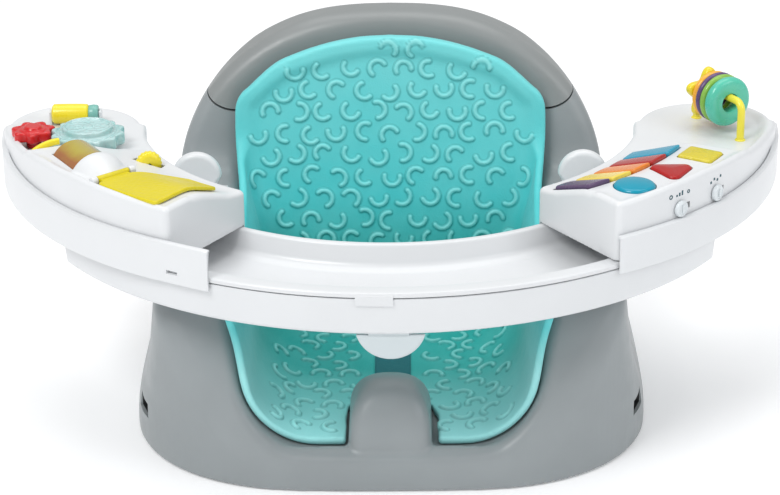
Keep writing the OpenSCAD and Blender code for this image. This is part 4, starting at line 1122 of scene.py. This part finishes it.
def cap_piece(name, pts, p, z0, ztop, dome, r_edge, flange, h=0.8):
    """A button: its outline, the height of its edge, how much its middle rises, and a flange below."""
    out = Outline(pts, 0.4, 8)
    fl = Outline(flange, 0.5, 8)
    o = arc_xyz(p[0], p[1], 0)
    s, c = math.sin(math.radians(p[1])), math.cos(math.radians(p[1]))

    def f(x, y, z):
        dx, dy = x - F32(o[0]), y - F32(o[1])
        u, v = dx * F32(s) - dy * F32(c), dx * F32(c) + dy * F32(s)
        d = out(u, v)
        rise = dome * (1 - np.clip(1 + d / 15.0, 0, 1) ** 2)
        body = rand_(rand_(d, z - (ztop + rise), r_edge), z0 - z, 0.3)
        fla = np.maximum(fl(u, v), np.abs(z - (z0 + 0.7)) - 0.7)
        return np.minimum(body, fla)
    P = np.array(placed(flange, p))
    ob = solid(name, f, (P[:, 0].min(), P[:, 1].min(), z0), (P[:, 0].max(), P[:, 1].max(), ztop + dome), h, 3)
    stem = turned("t", rounded([(0, 210.6, 0), (3, 210.6, 0.5), (3, z0 + 0.5, 0.2), (0, z0 + 0.5, 0)], 2), (o[0], o[1], 0), (0, 0, 1), 24)
    return join(name, [ob, stem])


def buttons():
    z0 = 218.1
    blue = cap_piece("cap_blue", circle_pts((0, 0), 15.5, 64), BLUE_P, z0, 224.3, 1.7, 2.4, circle_pts((0, 0), 16.9, 64))
    red = cap_piece("cap_red", tri_pts(22.5), REDB_P, z0, 224.0, 1.3, 1.9, tri_pts(24.2))
    yel = cap_piece("cap_yellow", sq_pts(13.0), SQ_P, z0, 224.2, 0.9, 1.7, rounded([(-15.3, -13.3, 1), (15.3, -13.3, 1), (15.3, 13.3, 1), (-15.3, 13.3, 1)], 3))
    return blue, red, yel


def knob(a, name):
    p, n = switch_frame(a)
    t = math.radians(n)
    ox, oy = math.cos(t), math.sin(t)
    o = (p[0] + 4 * math.sin(t), p[1] - 4 * math.cos(t), 206.8)
    prof = rounded([(0, 0.45, 0), (6.2, 0.45, 0.5), (6.2, 3.1, 1.4), (4.6, 4.0, 0.5), (3.9, 3.35, 0.5), (0, 3.2, 0)], 4)
    disc = turned("t", prof, o, (ox, oy, 0), 48)
    grip = box("t", (o[0] + ox * 3.6, o[1] + oy * 3.6, 206.8), (1.6, 1.3, 6.4), 0.5, n)
    stem = box("t", (o[0] - ox * 2.6, o[1] - oy * 2.6, 206.8), (7.2, 5, 4.4), 0.4, n)
    return join(name, [disc, grip, stem])


def switch_marks():
    """Plain marks above the two switches: a ring, bars of rising height and dots, without letters."""
    out = []

    def dot(a, z, w, hh, r=0.0):
        R = wall_R(a)
        t = math.radians(a)
        p = arc_xyz(R, a, z)
        n = math.degrees(math.atan2(p[1] - OY, p[0] - OX))
        nx, ny = math.cos(math.radians(n)), math.sin(math.radians(n))
        if r:
            out.append(turned("m", rounded([(r - 0.85, -0.4, 0), (r, -0.4, 0), (r, 0.22, 0.1), (r - 0.85, 0.22, 0.1)], 2), p, (nx, ny, 0), 32))
        else:
            out.append(box("m", (p[0] - nx * 0.1, p[1] - ny * 0.1, z), (0.7, w, hh), 0.12, n))
    dot(43.4, 217.6, 0, 0, 1.8)
    for i, hh in enumerate((1.6, 2.6, 3.6)):
        dot(44.6 + 0.55 * i, 216.4 + hh / 2, 1.5, hh)
    dot(47.0, 217.6, 0, 0, 1.5)
    for a, z in ((52.2, 216.2), (53.0, 218.0), (53.8, 216.4), (54.6, 218.2)):
        dot(a, z, 1.9, 1.9)
    return join("switch_marks", out)


def lobed(name, c, r, n, amp, ph, z0, z1, edge, extra, mirror=True, h=0.8):
    def f(x, y, z):
        dx, dy = -x - F32(c[0]), y - F32(c[1])
        q, a = np.hypot(dx, dy), np.arctan2(dy, dx)
        d = (q - (r + amp * np.cos(n * (a - math.radians(ph))))) * 0.86
        v = rand_(rand_(d, z - z1, edge), z0 - z, edge)
        return extra(v, q, a, z)
    R = r + amp + 1
    return solid(name, f, (-c[0] - R, c[1] - R, 207), (-c[0] + R, c[1] + R, z1 + 7), h, 3)


def gears():
    pitch = math.hypot(BIG[0] - RED[0], BIG[1] - RED[1])
    br, rr = pitch * 12 / 19, pitch * 7 / 19
    mesh = math.degrees(math.atan2(RED[1] - BIG[1], RED[0] - BIG[0]))

    def big_x(v, q, a, z):
        # shallow scoops between the lobes on top, a hub disc with a rim, and small facets on it
        scoop = rand_(np.abs(q - 23.4) - 1.3, 221.4 - z, 0.6)
        v = rand_(v, -scoop, 0.6)
        hub = rand_(q - 19.6, z - 226.9, 1.5)
        dish = rand_(q - 17.2, 225.7 - z, 0.8)
        facet = 0.35 * np.cos(a * 9 + q * 0.22) * np.cos(q * 0.75)
        hub = rand_(hub, -(dish + facet), 0.6)
        hub = np.minimum(hub, rand_(q - 4.2, z - 226.6, 1.0))
        v = np.minimum(v, np.maximum(hub, 218 - z))
        v = np.minimum(v, np.maximum(q - 8, np.maximum(z - 214, 207.6 - z)))
        return v

    def red_x(v, q, a, z):
        hub = rand_(q - 7.0, z - 224.6, 1.4)
        v = ror_(v, np.maximum(hub, 216 - z), 1.2)
        groove = rand_(np.abs(q - 11.4) - 0.9, 221.8 - z, 0.5)
        v = rand_(v, -groove, 0.4)
        return np.minimum(v, np.maximum(q - 6, np.maximum(z - 216, 207.6 - z)))
    big = lobed("gear_large", BIG, br - 0.45, 12, 1.9, mesh, 212.5, 222.5, 1.8, big_x)
    red = lobed("gear_small", RED, rr - 0.8, 7, 1.9, mesh + 180 + 180 / 7, 214.6, 222.5, 1.7, red_x)
    return big, red


def roller():
    y, z = 52, 215.6
    prof = [(1.6, 0), (6.6, 0), (7.8, 1.2)]
    prof += [(8.0, 5), (8.1, 14.5), (8.0, 24), (7.8, 27.8), (6.6, 29), (1.6, 29)]
    body = turned("roller", prof, (-242, y, z), (-1, 0, 0), 64)
    cap = turned("roller_end", rounded([(1.6, 0, 0), (6.9, 0, 0.7), (7.4, 3.8, 0.6), (7.0, 7.6, 1.4), (4.4, 7.9, 0.6), (1.6, 7.2, 0.3)], 4), (-241.9, y, z), (1, 0, 0), 56)
    return body, cap


def drum():
    t = math.radians(DRUM_A)
    o = arc_xyz(DRUM_R0, DRUM_A, DRUM_Z)
    ax = (math.cos(t), math.sin(t), 0)
    prof = [(2.1, -21), (11, -21), (11.6, -20.2), (17.4, -20.2), (18.4, -21), (19.2, -21), (20, -20.2), (20, 18.2), (19.2, 19), (18.4, 19), (17.4, 18.2), (11.6, 18.2), (11, 19), (2.1, 19)]
    ob = turned("drum", prof, o, ax, 120)
    return mirrored(ob)


def trim():
    """The yellow arch at the end of the block."""
    rings = []
    p = arc_frame(277.2, 66.4)
    for a in np.linspace(52, 91, 30):
        c, s = math.cos(math.radians(a)), math.sin(math.radians(a))
        sec = rounded([(33.6, 0.1, 0.6), (38.2, 0.1, 1.4), (38.2, 4.4, 1.4), (33.6, 4.4, 0.6)], 4)
        ring = []
        for r, v in sec:
            x, y = p(r * c, v)
            ring.append((-x, y, 188.2 + r * s))
        rings.append(ring)
    ob = loft("arch_trim", rings)
    cut(ob, cutter("c", [(-400, -200), (-100, -200), (-100, 200), (-400, 200)], 150, 207.1))
    return autosmooth(ob, 45)


def wheel():
    c = (-184.5, -45.5, 209.5)
    t = math.radians(-15)
    ax = (math.sin(-t) * -1, math.cos(t), 0)
    prof = rounded([(1.6, -4, 0), (6.8, -4, 0.6), (9.7, -2.7, 2.2), (10.5, 0, 4), (9.7, 2.7, 2.2), (6.8, 4, 0.6), (1.6, 4, 0)], 5)
    ob = turned("thumbwheel", prof, c, ax, 96)
    # a soft grip of shallow notches
    co = coords(ob)
    a = Vector(ax).normalized()
    d = co - np.array(c)
    s = d @ np.array(a)
    rad = d - s[:, None] * np.array(a)
    q = np.linalg.norm(rad, axis=1)
    u = Vector((0, 0, 1)).cross(a)
    ang = np.arctan2(rad[:, 2], rad @ np.array(u))
    k = np.clip((q - 8.2) / 2.0, 0, 1) * 0.34 * (np.cos(ang * 18) - 1)
    co += rad / np.maximum(q, 1e-6)[:, None] * k[:, None]
    ob.data.vertices.foreach_set("co", ((co + [0, YO, 0]) * MM).astype(F32).ravel())
    ob.data.update()
    return ob


def flap():
    a0, a1 = 34.6, 46.6
    c0, s0, c1, s1 = (fn(math.radians(a)) for a in (a0, a1) for fn in (math.cos, math.sin))

    def f(x, y, z):
        X = -x
        m = y - F32(ARC_Y)
        R = np.hypot(X, m)
        e = np.maximum(-(X * F32(c0) + m * F32(s0)), X * F32(c1) + m * F32(s1))
        # the inner end of the hinge side slants back
        e = np.maximum(e, (X - F32(137.27)) * F32(0.2867) + (m + F32(164.17)) * F32(0.958))
        p = rand_(np.maximum(224 - R, R - 294), e, 3.2)
        zs = smin(205 + (R - 206) * F32(17.5 / 51), 222.5 + 0 * R, 3) + 0.8
        slab = np.maximum(z - (zs + 3.0), zs - z)
        rim = np.clip(1 + np.maximum(p, -3.4) / 3.4, 0, 1)
        # a raised frame with a lower field inside it
        top = z - (zs + 2.55 + 0.45 * step01(rim * 1.6))
        return rand_(rand_(p, top, 1.1), zs - z, 0.6)
    P = np.array(sector_pts(224, 294, a0, a1, 8))
    ob = solid("flapbody", f, (-P[:, 0].max() - 1, P[:, 1].min() - 1, 210), (-P[:, 0].min() + 1, P[:, 1].max() + 1, 228), 1.0, 3)
    d = (-math.sin(math.radians(47.7)), -math.cos(math.radians(47.7)), 0)
    p = arc_xyz(262, 47.7, 225.5)
    barrel = turned("t", rounded([(1.6, 0, 0), (2.6, 0, 0.4), (2.6, 28, 0.4), (1.6, 28, 0)], 3), (-p[0], p[1], p[2]), d, 32)
    web = mirrored(loft("t", [[arc_xyz(r, a, z) for r, z in ((264, 224.4), (289, 224.4), (289, 226.0), (264, 226.0))] for a in np.linspace(46.2, 47.7, 4)]))
    return join("flap_plate", [ob, barrel, web])


BAR_O, BAR_A, BAR_L, ROD_R, ROD_Z = (275.6, 4.7), 118.0, 60.0, 3.0, 237.5


def bar_pt(s, n, z):
    t = math.radians(BAR_A)
    return (BAR_O[0] + s * math.cos(t) - n * math.sin(t), BAR_O[1] + s * math.sin(t) + n * math.cos(t), z)


def tube(name, pts, r, k=28):
    pts = [Vector(p) for p in pts]
    rings, up = [], Vector((math.sin(math.radians(BAR_A)), -math.cos(math.radians(BAR_A)), 0))
    for i, p in enumerate(pts):
        d = (pts[min(i + 1, len(pts) - 1)] - pts[max(i - 1, 0)]).normalized()
        v = d.cross(up).normalized()
        rings.append([tuple(p + up * r * math.cos(2 * math.pi * j / k) + v * r * math.sin(2 * math.pi * j / k)) for j in range(k)])
    return autosmooth(loft(name, rings), 50)


def bead_bar():
    b = 7.2
    pts = [bar_pt(0, 0, z) for z in np.linspace(193.2, ROD_Z - b, 8)]
    pts += [bar_pt(b - b * math.cos(t), 0, ROD_Z - b + b * math.sin(t)) for t in np.linspace(0.12, math.pi / 2, 12)]
    pts += [bar_pt(s, 0, ROD_Z) for s in np.linspace(b + 2, BAR_L - b - 2, 12)]
    pts += [bar_pt(BAR_L - b + b * math.sin(t), 0, ROD_Z - b + b * math.cos(t)) for t in np.linspace(0, math.pi / 2 - 0.12, 12)]
    pts += [bar_pt(BAR_L, 0, z) for z in np.linspace(ROD_Z - b, 193.2, 8)]
    rod = tube("rod", pts, ROD_R)
    feet = [turned("f", rounded([(2.9, 206.2, 0), (4.3, 206.2, 0), (4.2, 207.5, 0.4), (3.4, 208.0, 0.3), (2.9, 208.2, 0.1)], 3), (*bar_pt(s, 0, 0)[:2], 0), (0, 0, 1), 40) for s in (0, BAR_L)]
    return join("bar", [rod] + feet)


RING_Z = 237.5 - (7.4 - 3.0 - 0.05)


def ring(name, s, w, R, e, groove=0.0):
    t = math.radians(BAR_A)
    prof = [(7.4, 0.9), (7.7, 0.25), (8.4, 0)]
    prof += [(R - e + e * math.cos(math.radians(a)), e + e * math.sin(math.radians(a))) for a in range(-90, 1, 12)]
    prof += [(R - e + e * math.cos(math.radians(a)), w - e + e * math.sin(math.radians(a))) for a in range(0, 91, 12)]
    prof += [(8.4, w), (7.7, w - 0.25), (7.4, w - 0.9)]
    if groove:
        prof = [(r - groove * math.exp(-((r - 13.5) / 1.2) ** 2) * 0, q + (groove if q < w / 2 else -groove) * math.exp(-((r - 12.6) / 1.9) ** 2)) for r, q in prof]
    return turned(name, prof, bar_pt(s, 0, RING_Z), (math.cos(t), math.sin(t), 0), 96)


def star():
    t = math.radians(BAR_A)
    o = bar_pt(42.0, 0, RING_Z)
    ax, sx = (math.cos(t), math.sin(t)), (-math.sin(t), math.cos(t))

    def f(x, y, z):
        dx, dy, dz = x - F32(o[0]), y - F32(o[1]), z - F32(o[2])
        s, n = dx * F32(ax[0]) + dy * F32(ax[1]), dx * F32(sx[0]) + dy * F32(sx[1])
        q, a = np.hypot(n, dz), np.arctan2(n, -dz)
        d = (q - (17.2 - 3.7 * np.cos(5 * a))) * 0.74
        v = rand_(rand_(d, s - 7.4, 2.4), -s, 2.4)
        return rand_(v, 7.5 - q, 0.9)
    return solid("star", f, (o[0] - 24, o[1] - 24, o[2] - 24), (o[0] + 22, o[1] + 24, o[2] + 24), 0.8, 3)


# ------------------------------------------------------------------ plain materials of the CAD solids that stay
WHITE, WHITE_IN = (217, 219, 221), (214, 217, 219)
GREY = plastic("shell_grey", (141, 147, 149), rough=0.36, grain=0.16, grain_scale=1300, vary=0.035, wear=0.16)
ARCH = plastic("arch_grey", (136, 140, 140), rough=0.34, grain=0.12, grain_scale=1300, vary=0.03, wear=0.14)
TRAY = plastic("tray_white", WHITE, rough=0.30, grain=0.07, grain_scale=1500, vary=0.012, wear=0, rv=0.012, coat=0.1)
POD = plastic("pod_white", (220, 222, 224), rough=0.32, grain=0.08, grain_scale=1500, vary=0.012, wear=0, rv=0.012)
# the release tab is white plastic like the tray, painted greyer for the shade under the tray band
TAB_SHADED = plastic("tab_white_painted_shade", (196, 205, 208), rough=0.36, grain=0.08, grain_scale=1500, vary=0.015, wear=0, rv=0.012)
INNER = plastic("inside_white", WHITE_IN, rough=0.42, grain=0.12, vary=0.02, wear=0)
# near black, used only for the blocks that stand in for the shade inside the strap slots
SLOT_SHADE = plastic("slot_shade_black", (22, 24, 26), rough=0.5, grain=0.2, vary=0.05, wear=0)
RUBBER = plastic("foot_rubber", (38, 40, 42), rough=0.72, grain=0.35, grain_scale=700, vary=0.08, wear=0.12, spec=0.35)
FOAM = foam_mat()
STEEL = metal("screw_steel", (178, 180, 184), 0.3)
SPRING = metal("spring_steel", (196, 198, 202), 0.24)
BRASS = metal("contact_brass", (205, 176, 108), 0.28)
CARBON = plastic("contact_silicone", (196, 199, 200), rough=0.6, grain=0.1, vary=0.03, wear=0, sss=0.1)
BOARD = plastic("board_green", (24, 104, 66), rough=0.4, grain=0.35, grain_scale=500, vary=0.12, wear=0, coat=0.3)
CELL = plastic("cell_wrap", (52, 84, 128), rough=0.25, grain=0.05, vary=0.06, wear=0, coat=0.4)
CONE = plastic("speaker_dark", (46, 46, 50), rough=0.6, grain=0.3, grain_scale=400, vary=0.08, wear=0)

TOY = {
    "blue": plastic("key_blue", (44, 150, 180), rough=0.26, grain=0.05, vary=0.03, wear=0, spec=0.35, coat=0.1, sss=0.06),
    "red": plastic("key_red", (168, 36, 32), rough=0.26, grain=0.05, vary=0.03, wear=0, spec=0.35, coat=0.1, sss=0.06),
    "orange": plastic("key_orange", (226, 132, 50), rough=0.26, grain=0.05, vary=0.03, wear=0, spec=0.35, coat=0.1, sss=0.06),
    "yellow": plastic("key_yellow", (232, 206, 84), rough=0.26, grain=0.05, vary=0.03, wear=0, spec=0.35, coat=0.1, sss=0.06),
    "purple": plastic("key_purple", (92, 72, 104), rough=0.26, grain=0.05, vary=0.04, wear=0, spec=0.35, coat=0.1, sss=0.06),
    "b_blue": plastic("cap_blue", (0, 146, 172), rough=0.2, grain=0.04, vary=0.03, wear=0, spec=0.35, coat=0.15, sss=0.06),
    "b_red": plastic("cap_red", (170, 20, 20), rough=0.2, grain=0.04, vary=0.03, wear=0, spec=0.35, coat=0.15, sss=0.06),
    "b_yellow": plastic("cap_yellow", (208, 192, 40), rough=0.32, grain=0.06, vary=0.05, wear=0, coat=0.2, tex=pebbles(420, 0.6, 0.0012)),
}
FLAP = plastic("flap_yellow", (214, 198, 18), rough=0.34, grain=0.06, vary=0.04, wear=0, tex=pebbles(300, 0.45, 0.0012))
YELLOW = plastic("toy_yellow", (238, 218, 40), rough=0.28, grain=0.05, vary=0.04, wear=0.08, coat=0.2, sss=0.05)
CAPTEAL = plastic("roller_end", (120, 180, 170), rough=0.3, grain=0.05, vary=0.03, wear=0.06)
REDG = plastic("gear_red", (200, 10, 16), rough=0.22, grain=0.04, vary=0.04, wear=0, coat=0.3, sss=0.05)
BARY = plastic("bar_yellow", (236, 222, 66), rough=0.3, grain=0.05, vary=0.04, wear=0.05, coat=0.2)
R_TEAL = plastic("ring_teal", (82, 190, 164), rough=0.26, grain=0.04, vary=0.03, wear=0.05, coat=0.3, sss=0.06)
R_LIME = plastic("ring_lime", (134, 182, 70), rough=0.26, grain=0.04, vary=0.03, wear=0.05, coat=0.3, sss=0.06)
R_PURP = plastic("ring_purple", (88, 62, 112), rough=0.26, grain=0.04, vary=0.04, wear=0.05, coat=0.3)
R_ORAN = plastic("ring_orange", (242, 172, 48), rough=0.26, grain=0.04, vary=0.03, wear=0.05, coat=0.3, sss=0.06)
R_STAR = plastic("ring_star", (230, 210, 40), rough=0.26, grain=0.04, vary=0.03, wear=0.05, coat=0.3, sss=0.06)
KNOB = plastic("knob_white", (214, 220, 223), rough=0.3, grain=0.06, vary=0.02, wear=0, coat=0.1)
MARK = plastic("mark_teal", (34, 78, 88), rough=0.45, grain=0.05, vary=0.04, wear=0)


def gear_teal():
    """Half clear teal: you see into it a little, and glints are painted into it as pale spots in its colour."""
    m, nt, bs, vec = new_mat("gear_teal")
    flow = noise(nt, vec, 30, 4, 0.6)
    base = mixcol(nt, rangemap(nt, flow, 0.3, 0.7, 0, 1), srgb(168, 216, 214), srgb(206, 232, 232))
    # painted glints: pale spots in the colour stand in for sparkles of light
    v = nt.nodes.new("ShaderNodeTexVoronoi")
    v.inputs["Scale"].default_value = 420
    nt.links.new(vec, v.inputs["Vector"])
    painted_glint = rangemap(nt, v.outputs["Distance"], 0.0, 0.16, 1, 0)
    base = mixcol(nt, painted_glint, base, srgb(232, 244, 240))
    sep = nt.nodes.new("ShaderNodeSeparateXYZ")
    nt.links.new(vec, sep.inputs[0])
    nt.links.new(base, bs.inputs["Base Color"])
    nt.links.new(rangemap(nt, noise(nt, vec, 80, 3), 0.3, 0.7, 0.1, 0.2), bs.inputs["Roughness"])
    v2 = nt.nodes.new("ShaderNodeTexVoronoi")
    v2.inputs["Scale"].default_value = 240
    nt.links.new(vec, v2.inputs["Vector"])
    nt.links.new(bump(nt, v2.outputs["Distance"], 0.5, 0.0012), bs.inputs["Normal"])
    bs.inputs["Transmission Weight"].default_value = 0.18
    bs.inputs["IOR"].default_value = 1.49
    bs.inputs["Subsurface Weight"].default_value = 0.15
    bs.inputs["Subsurface Radius"].default_value = (0.004, 0.006, 0.006)
    bs.inputs["Coat Weight"].default_value = 0.5
    return m


def amber():
    """Clear amber drum: olive yellow on one side running into orange brown on the other."""
    m, nt, bs, vec = new_mat("drum_amber")
    sep = nt.nodes.new("ShaderNodeSeparateXYZ")
    nt.links.new(vec, sep.inputs[0])
    mapped = rangemap(nt, sep.outputs["Z"], 0.2255, 0.2315, 0, 1)
    flow = noise(nt, vec, 40, 4, 0.6)
    mm = nt.nodes.new("ShaderNodeMath")
    mm.operation = "MULTIPLY_ADD"
    nt.links.new(rangemap(nt, flow, 0.3, 0.7, -0.25, 0.25), mm.inputs[0])
    mm.inputs[1].default_value = 1.0
    nt.links.new(mapped, mm.inputs[2])
    mm.use_clamp = True
    base = mixcol(nt, mm.outputs[0], srgb(176, 104, 36), srgb(198, 180, 46))
    nt.links.new(base, bs.inputs["Base Color"])
    nt.links.new(rangemap(nt, noise(nt, vec, 80, 3), 0.3, 0.7, 0.08, 0.16), bs.inputs["Roughness"])
    nt.links.new(bump(nt, noise(nt, vec, 500, 2), 0.06, 0.0004), bs.inputs["Normal"])
    bs.inputs["Transmission Weight"].default_value = 0.25
    bs.inputs["IOR"].default_value = 1.49
    bs.inputs["Coat Weight"].default_value = 0.6
    return m


GEAR_TEAL, AMBER = gear_teal(), amber()

STAY = {
    "base_plate": GREY, "rubber_feet": RUBBER, "base_screws": STEEL, "arch_screws": STEEL,
    "tray_screws": STEEL, "release_spring": SPRING, "latch_pins": STEEL, "latch_springs": SPRING,
    "gear_pod_base": INNER, "gear_pod_screws": STEEL, "gear_axles": STEEL, "roller_axle": STEEL, "drum_axle": STEEL,
    "wheel_axle": STEEL, "flap_pin": STEEL,
    "piano_pod_base": INNER, "piano_pod_screws": STEEL, "battery_door": INNER, "door_screw": STEEL, "batteries": CELL,
    "circuit_board": BOARD, "speaker": CONE, "contact_pads": CARBON,
}
for node_name, mat_ in STAY.items():
    ob = bpy.data.objects.get(node_name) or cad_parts[node_name]
    ob = ob if hasattr(ob, "data") else bpy.data.objects[node_name]
    if not ob.data.materials:
        ob.data.materials.append(mat_)
    for slot_ in ob.material_slots:
        slot_.material = mat_


# ------------------------------------------------------------------ put everything together
def put(ob, mat, body, *nodes):
    paint(ob, mat)
    ride(ob, body, *nodes)
    return ob


shell_ob, arch_ob = seat()
put(shell_ob, GREY, "seat", "seat_shell")
put(arch_ob, ARCH, "seat", "backrest_arch")
# dark blocks filling the strap slots, painted shade that makes the slots read black
for s_ in (-1, 1):
    pk = cutter("p", [(s_ * x, y) for x, y in ((160, -120), (179.8, -118), (184, -109), (184, -76), (160, -76))], 19, 45)
    cut(pk, cutter("c", [(s_ * x, y) for x, y in ((164, -117), (200, -117), (200, -79), (164, -79))], 22, 42))
    lin = cutter("l", [(s_ * x, y) for x, y in ((178, -115.2), (184.8, -115.2), (193.6, -89.8), (178, -89.8))], 25.8, 38.7)
    cut(lin, cutter("c", [(s_ * x, y) for x, y in ((160, -114.4), (210, -114.4), (210, -90.6), (160, -90.6))], 26.5, 38))
    put(join("slot_pocket_" + "rl"[s_ < 0], [pk, lin]), SLOT_SHADE, "seat")
pad_ob = put(liner(), FOAM, "seat", "foam_liner")

put(tray_top(), TRAY, "tray", "tray_top")
put(tray_base(), TRAY, "tray", "tray_base")
put(tab(), TAB_SHADED, "release_tab_body", "release_tab")
put(latch(-1, "ear_left"), POD, "latch_left_body", "latch_left")
put(latch(1, "ear_right"), POD, "latch_right_body", "latch_right")

piano_ob = put(piano_cover(), POD, "piano_pod", "piano_pod_cover")
gear_ob = put(gear_cover(), POD, "gear_pod", "gear_pod_cover")

for i, (nm, cm) in enumerate((("purple", "purple"), ("yellow", "yellow"), ("orange", "orange"), ("red", "red"), ("blue", "blue"))):
    put(key(i, "keytop_" + nm), TOY[cm], "key_%s_body" % nm, "key_" + nm)
bb, br_, by = buttons()
put(bb, TOY["b_blue"], "button_blue_body", "button_blue")
put(br_, TOY["b_red"], "button_red_body", "button_red")
put(by, TOY["b_yellow"], "button_yellow_body", "button_yellow")
put(knob(SW[0], "knob_near"), KNOB, "volume_switch_body", "volume_switch")
put(knob(SW[1], "knob_far"), KNOB, "mode_switch_body", "mode_switch")
put(switch_marks(), MARK, "piano_pod")

put(bead_bar(), BARY, "piano_pod", "bead_bar")
put(ring("bead_teal", 14.8, 9.6, 20.0, 4.6), R_TEAL, "ring_teal_body", "ring_teal")
put(ring("bead_lime", 24.6, 5.8, 19.9, 2.8), R_LIME, "ring_lime_body", "ring_lime")
put(ring("bead_purple", 30.6, 5.0, 19.9, 2.4), R_PURP, "ring_purple_body", "ring_purple")
put(ring("bead_orange", 35.8, 6.0, 19.2, 2.9), R_ORAN, "ring_orange_body", "ring_orange")
put(star(), R_STAR, "ring_star_body", "ring_star")

g1, g2 = gears()
put(g1, GEAR_TEAL, "big_gear_body", "big_gear")
put(g2, REDG, "red_gear_body", "red_gear")
ro, rc = roller()
put(ro, YELLOW, "roller_body", "yellow_roller")
put(rc, CAPTEAL, "roller_body", "roller_cap")
put(drum(), AMBER, "drum_body", "amber_drum")
put(trim(), YELLOW, "gear_pod", "drum_trim")
put(wheel(), YELLOW, "thumb_wheel_body", "thumb_wheel")
put(flap(), FLAP, "flap_body", "picture_flap")

# ------------------------------------------------------------------ floor, light, camera
me = bpy.data.meshes.new("floor")
me.from_pydata([(-6, -6, 0), (6, -6, 0), (6, 6, 0), (-6, 6, 0)], [], [(0, 1, 2, 3)])
floor = bpy.data.objects.new("floor", me)
bpy.context.scene.collection.objects.link(floor)
m, nt, bs, vec = new_mat("floor_white")
nt.links.new(mixcol(nt, rangemap(nt, noise(nt, vec, 3, 3), 0.3, 0.7, 0, 1), srgb(244, 245, 246), srgb(248, 248, 249)), bs.inputs["Base Color"])
bs.inputs["Roughness"].default_value = 0.6
bs.inputs["Specular IOR Level"].default_value = 0.3
bs.inputs["Emission Color"].default_value = (1, 1, 1, 1)
bs.inputs["Emission Strength"].default_value = 0.16
floor.data.materials.append(m)


def area(name, at, to, size, watts, col=(1, 1, 1)):
    d = bpy.data.lights.new(name, "AREA")
    d.shape = "RECTANGLE"
    d.size, d.size_y = size
    d.energy = watts
    d.color = col
    ob = bpy.data.objects.new(name, d)
    ob.location = at
    ob.rotation_euler = (Vector(to) - Vector(at)).to_track_quat("-Z", "Y").to_euler()
    bpy.context.scene.collection.objects.link(ob)


bpy.context.scene.view_settings.view_transform = "Standard"
area("key", (-1.2, -1.4, 2.3), (0, 0, 0.12), (1.0, 1.0), 33)
area("fill", (1.9, -1.1, 1.5), (0, 0, 0.12), (1.2, 1.2), 12, (0.94, 0.97, 1.0))
area("low", (-0.9, -2.4, 0.45), (0, 0, 0.14), (1.6, 0.6), 2.5, (0.93, 0.96, 1.0))
area("top", (0.1, 0.5, 2.4), (0, 0, 0.1), (2.2, 1.6), 22)

w = bpy.data.worlds.new("studio")
w.use_nodes = True
bg = w.node_tree.nodes.get("Background") or w.node_tree.nodes.new("ShaderNodeBackground")
bg.inputs[0].default_value = (1, 1, 1, 1)
bg.inputs[1].default_value = 0.55
bpy.context.scene.world = w

CE, CA, CR, CD = math.radians(23), math.radians(0.47), math.radians(0.53), 1.9
fwd = Vector((-math.sin(CA) * math.cos(CE), math.cos(CA) * math.cos(CE), -math.sin(CE)))
cam_d = bpy.data.cameras.new("camera")
cam_d.lens, cam_d.sensor_width = 109.66, 36.0
cam_d.clip_start, cam_d.clip_end = 0.05, 50
cam = bpy.data.objects.new("camera", cam_d)
bpy.context.scene.collection.objects.link(cam)
from mathutils import Quaternion
cam.location = Vector((-0.0003, 0.019, 0.119)) - fwd * CD
cam.rotation_euler = (fwd.to_track_quat("-Z", "Y") @ Quaternion((0, 0, 1), -CR)).to_euler()
bpy.context.scene.camera = cam
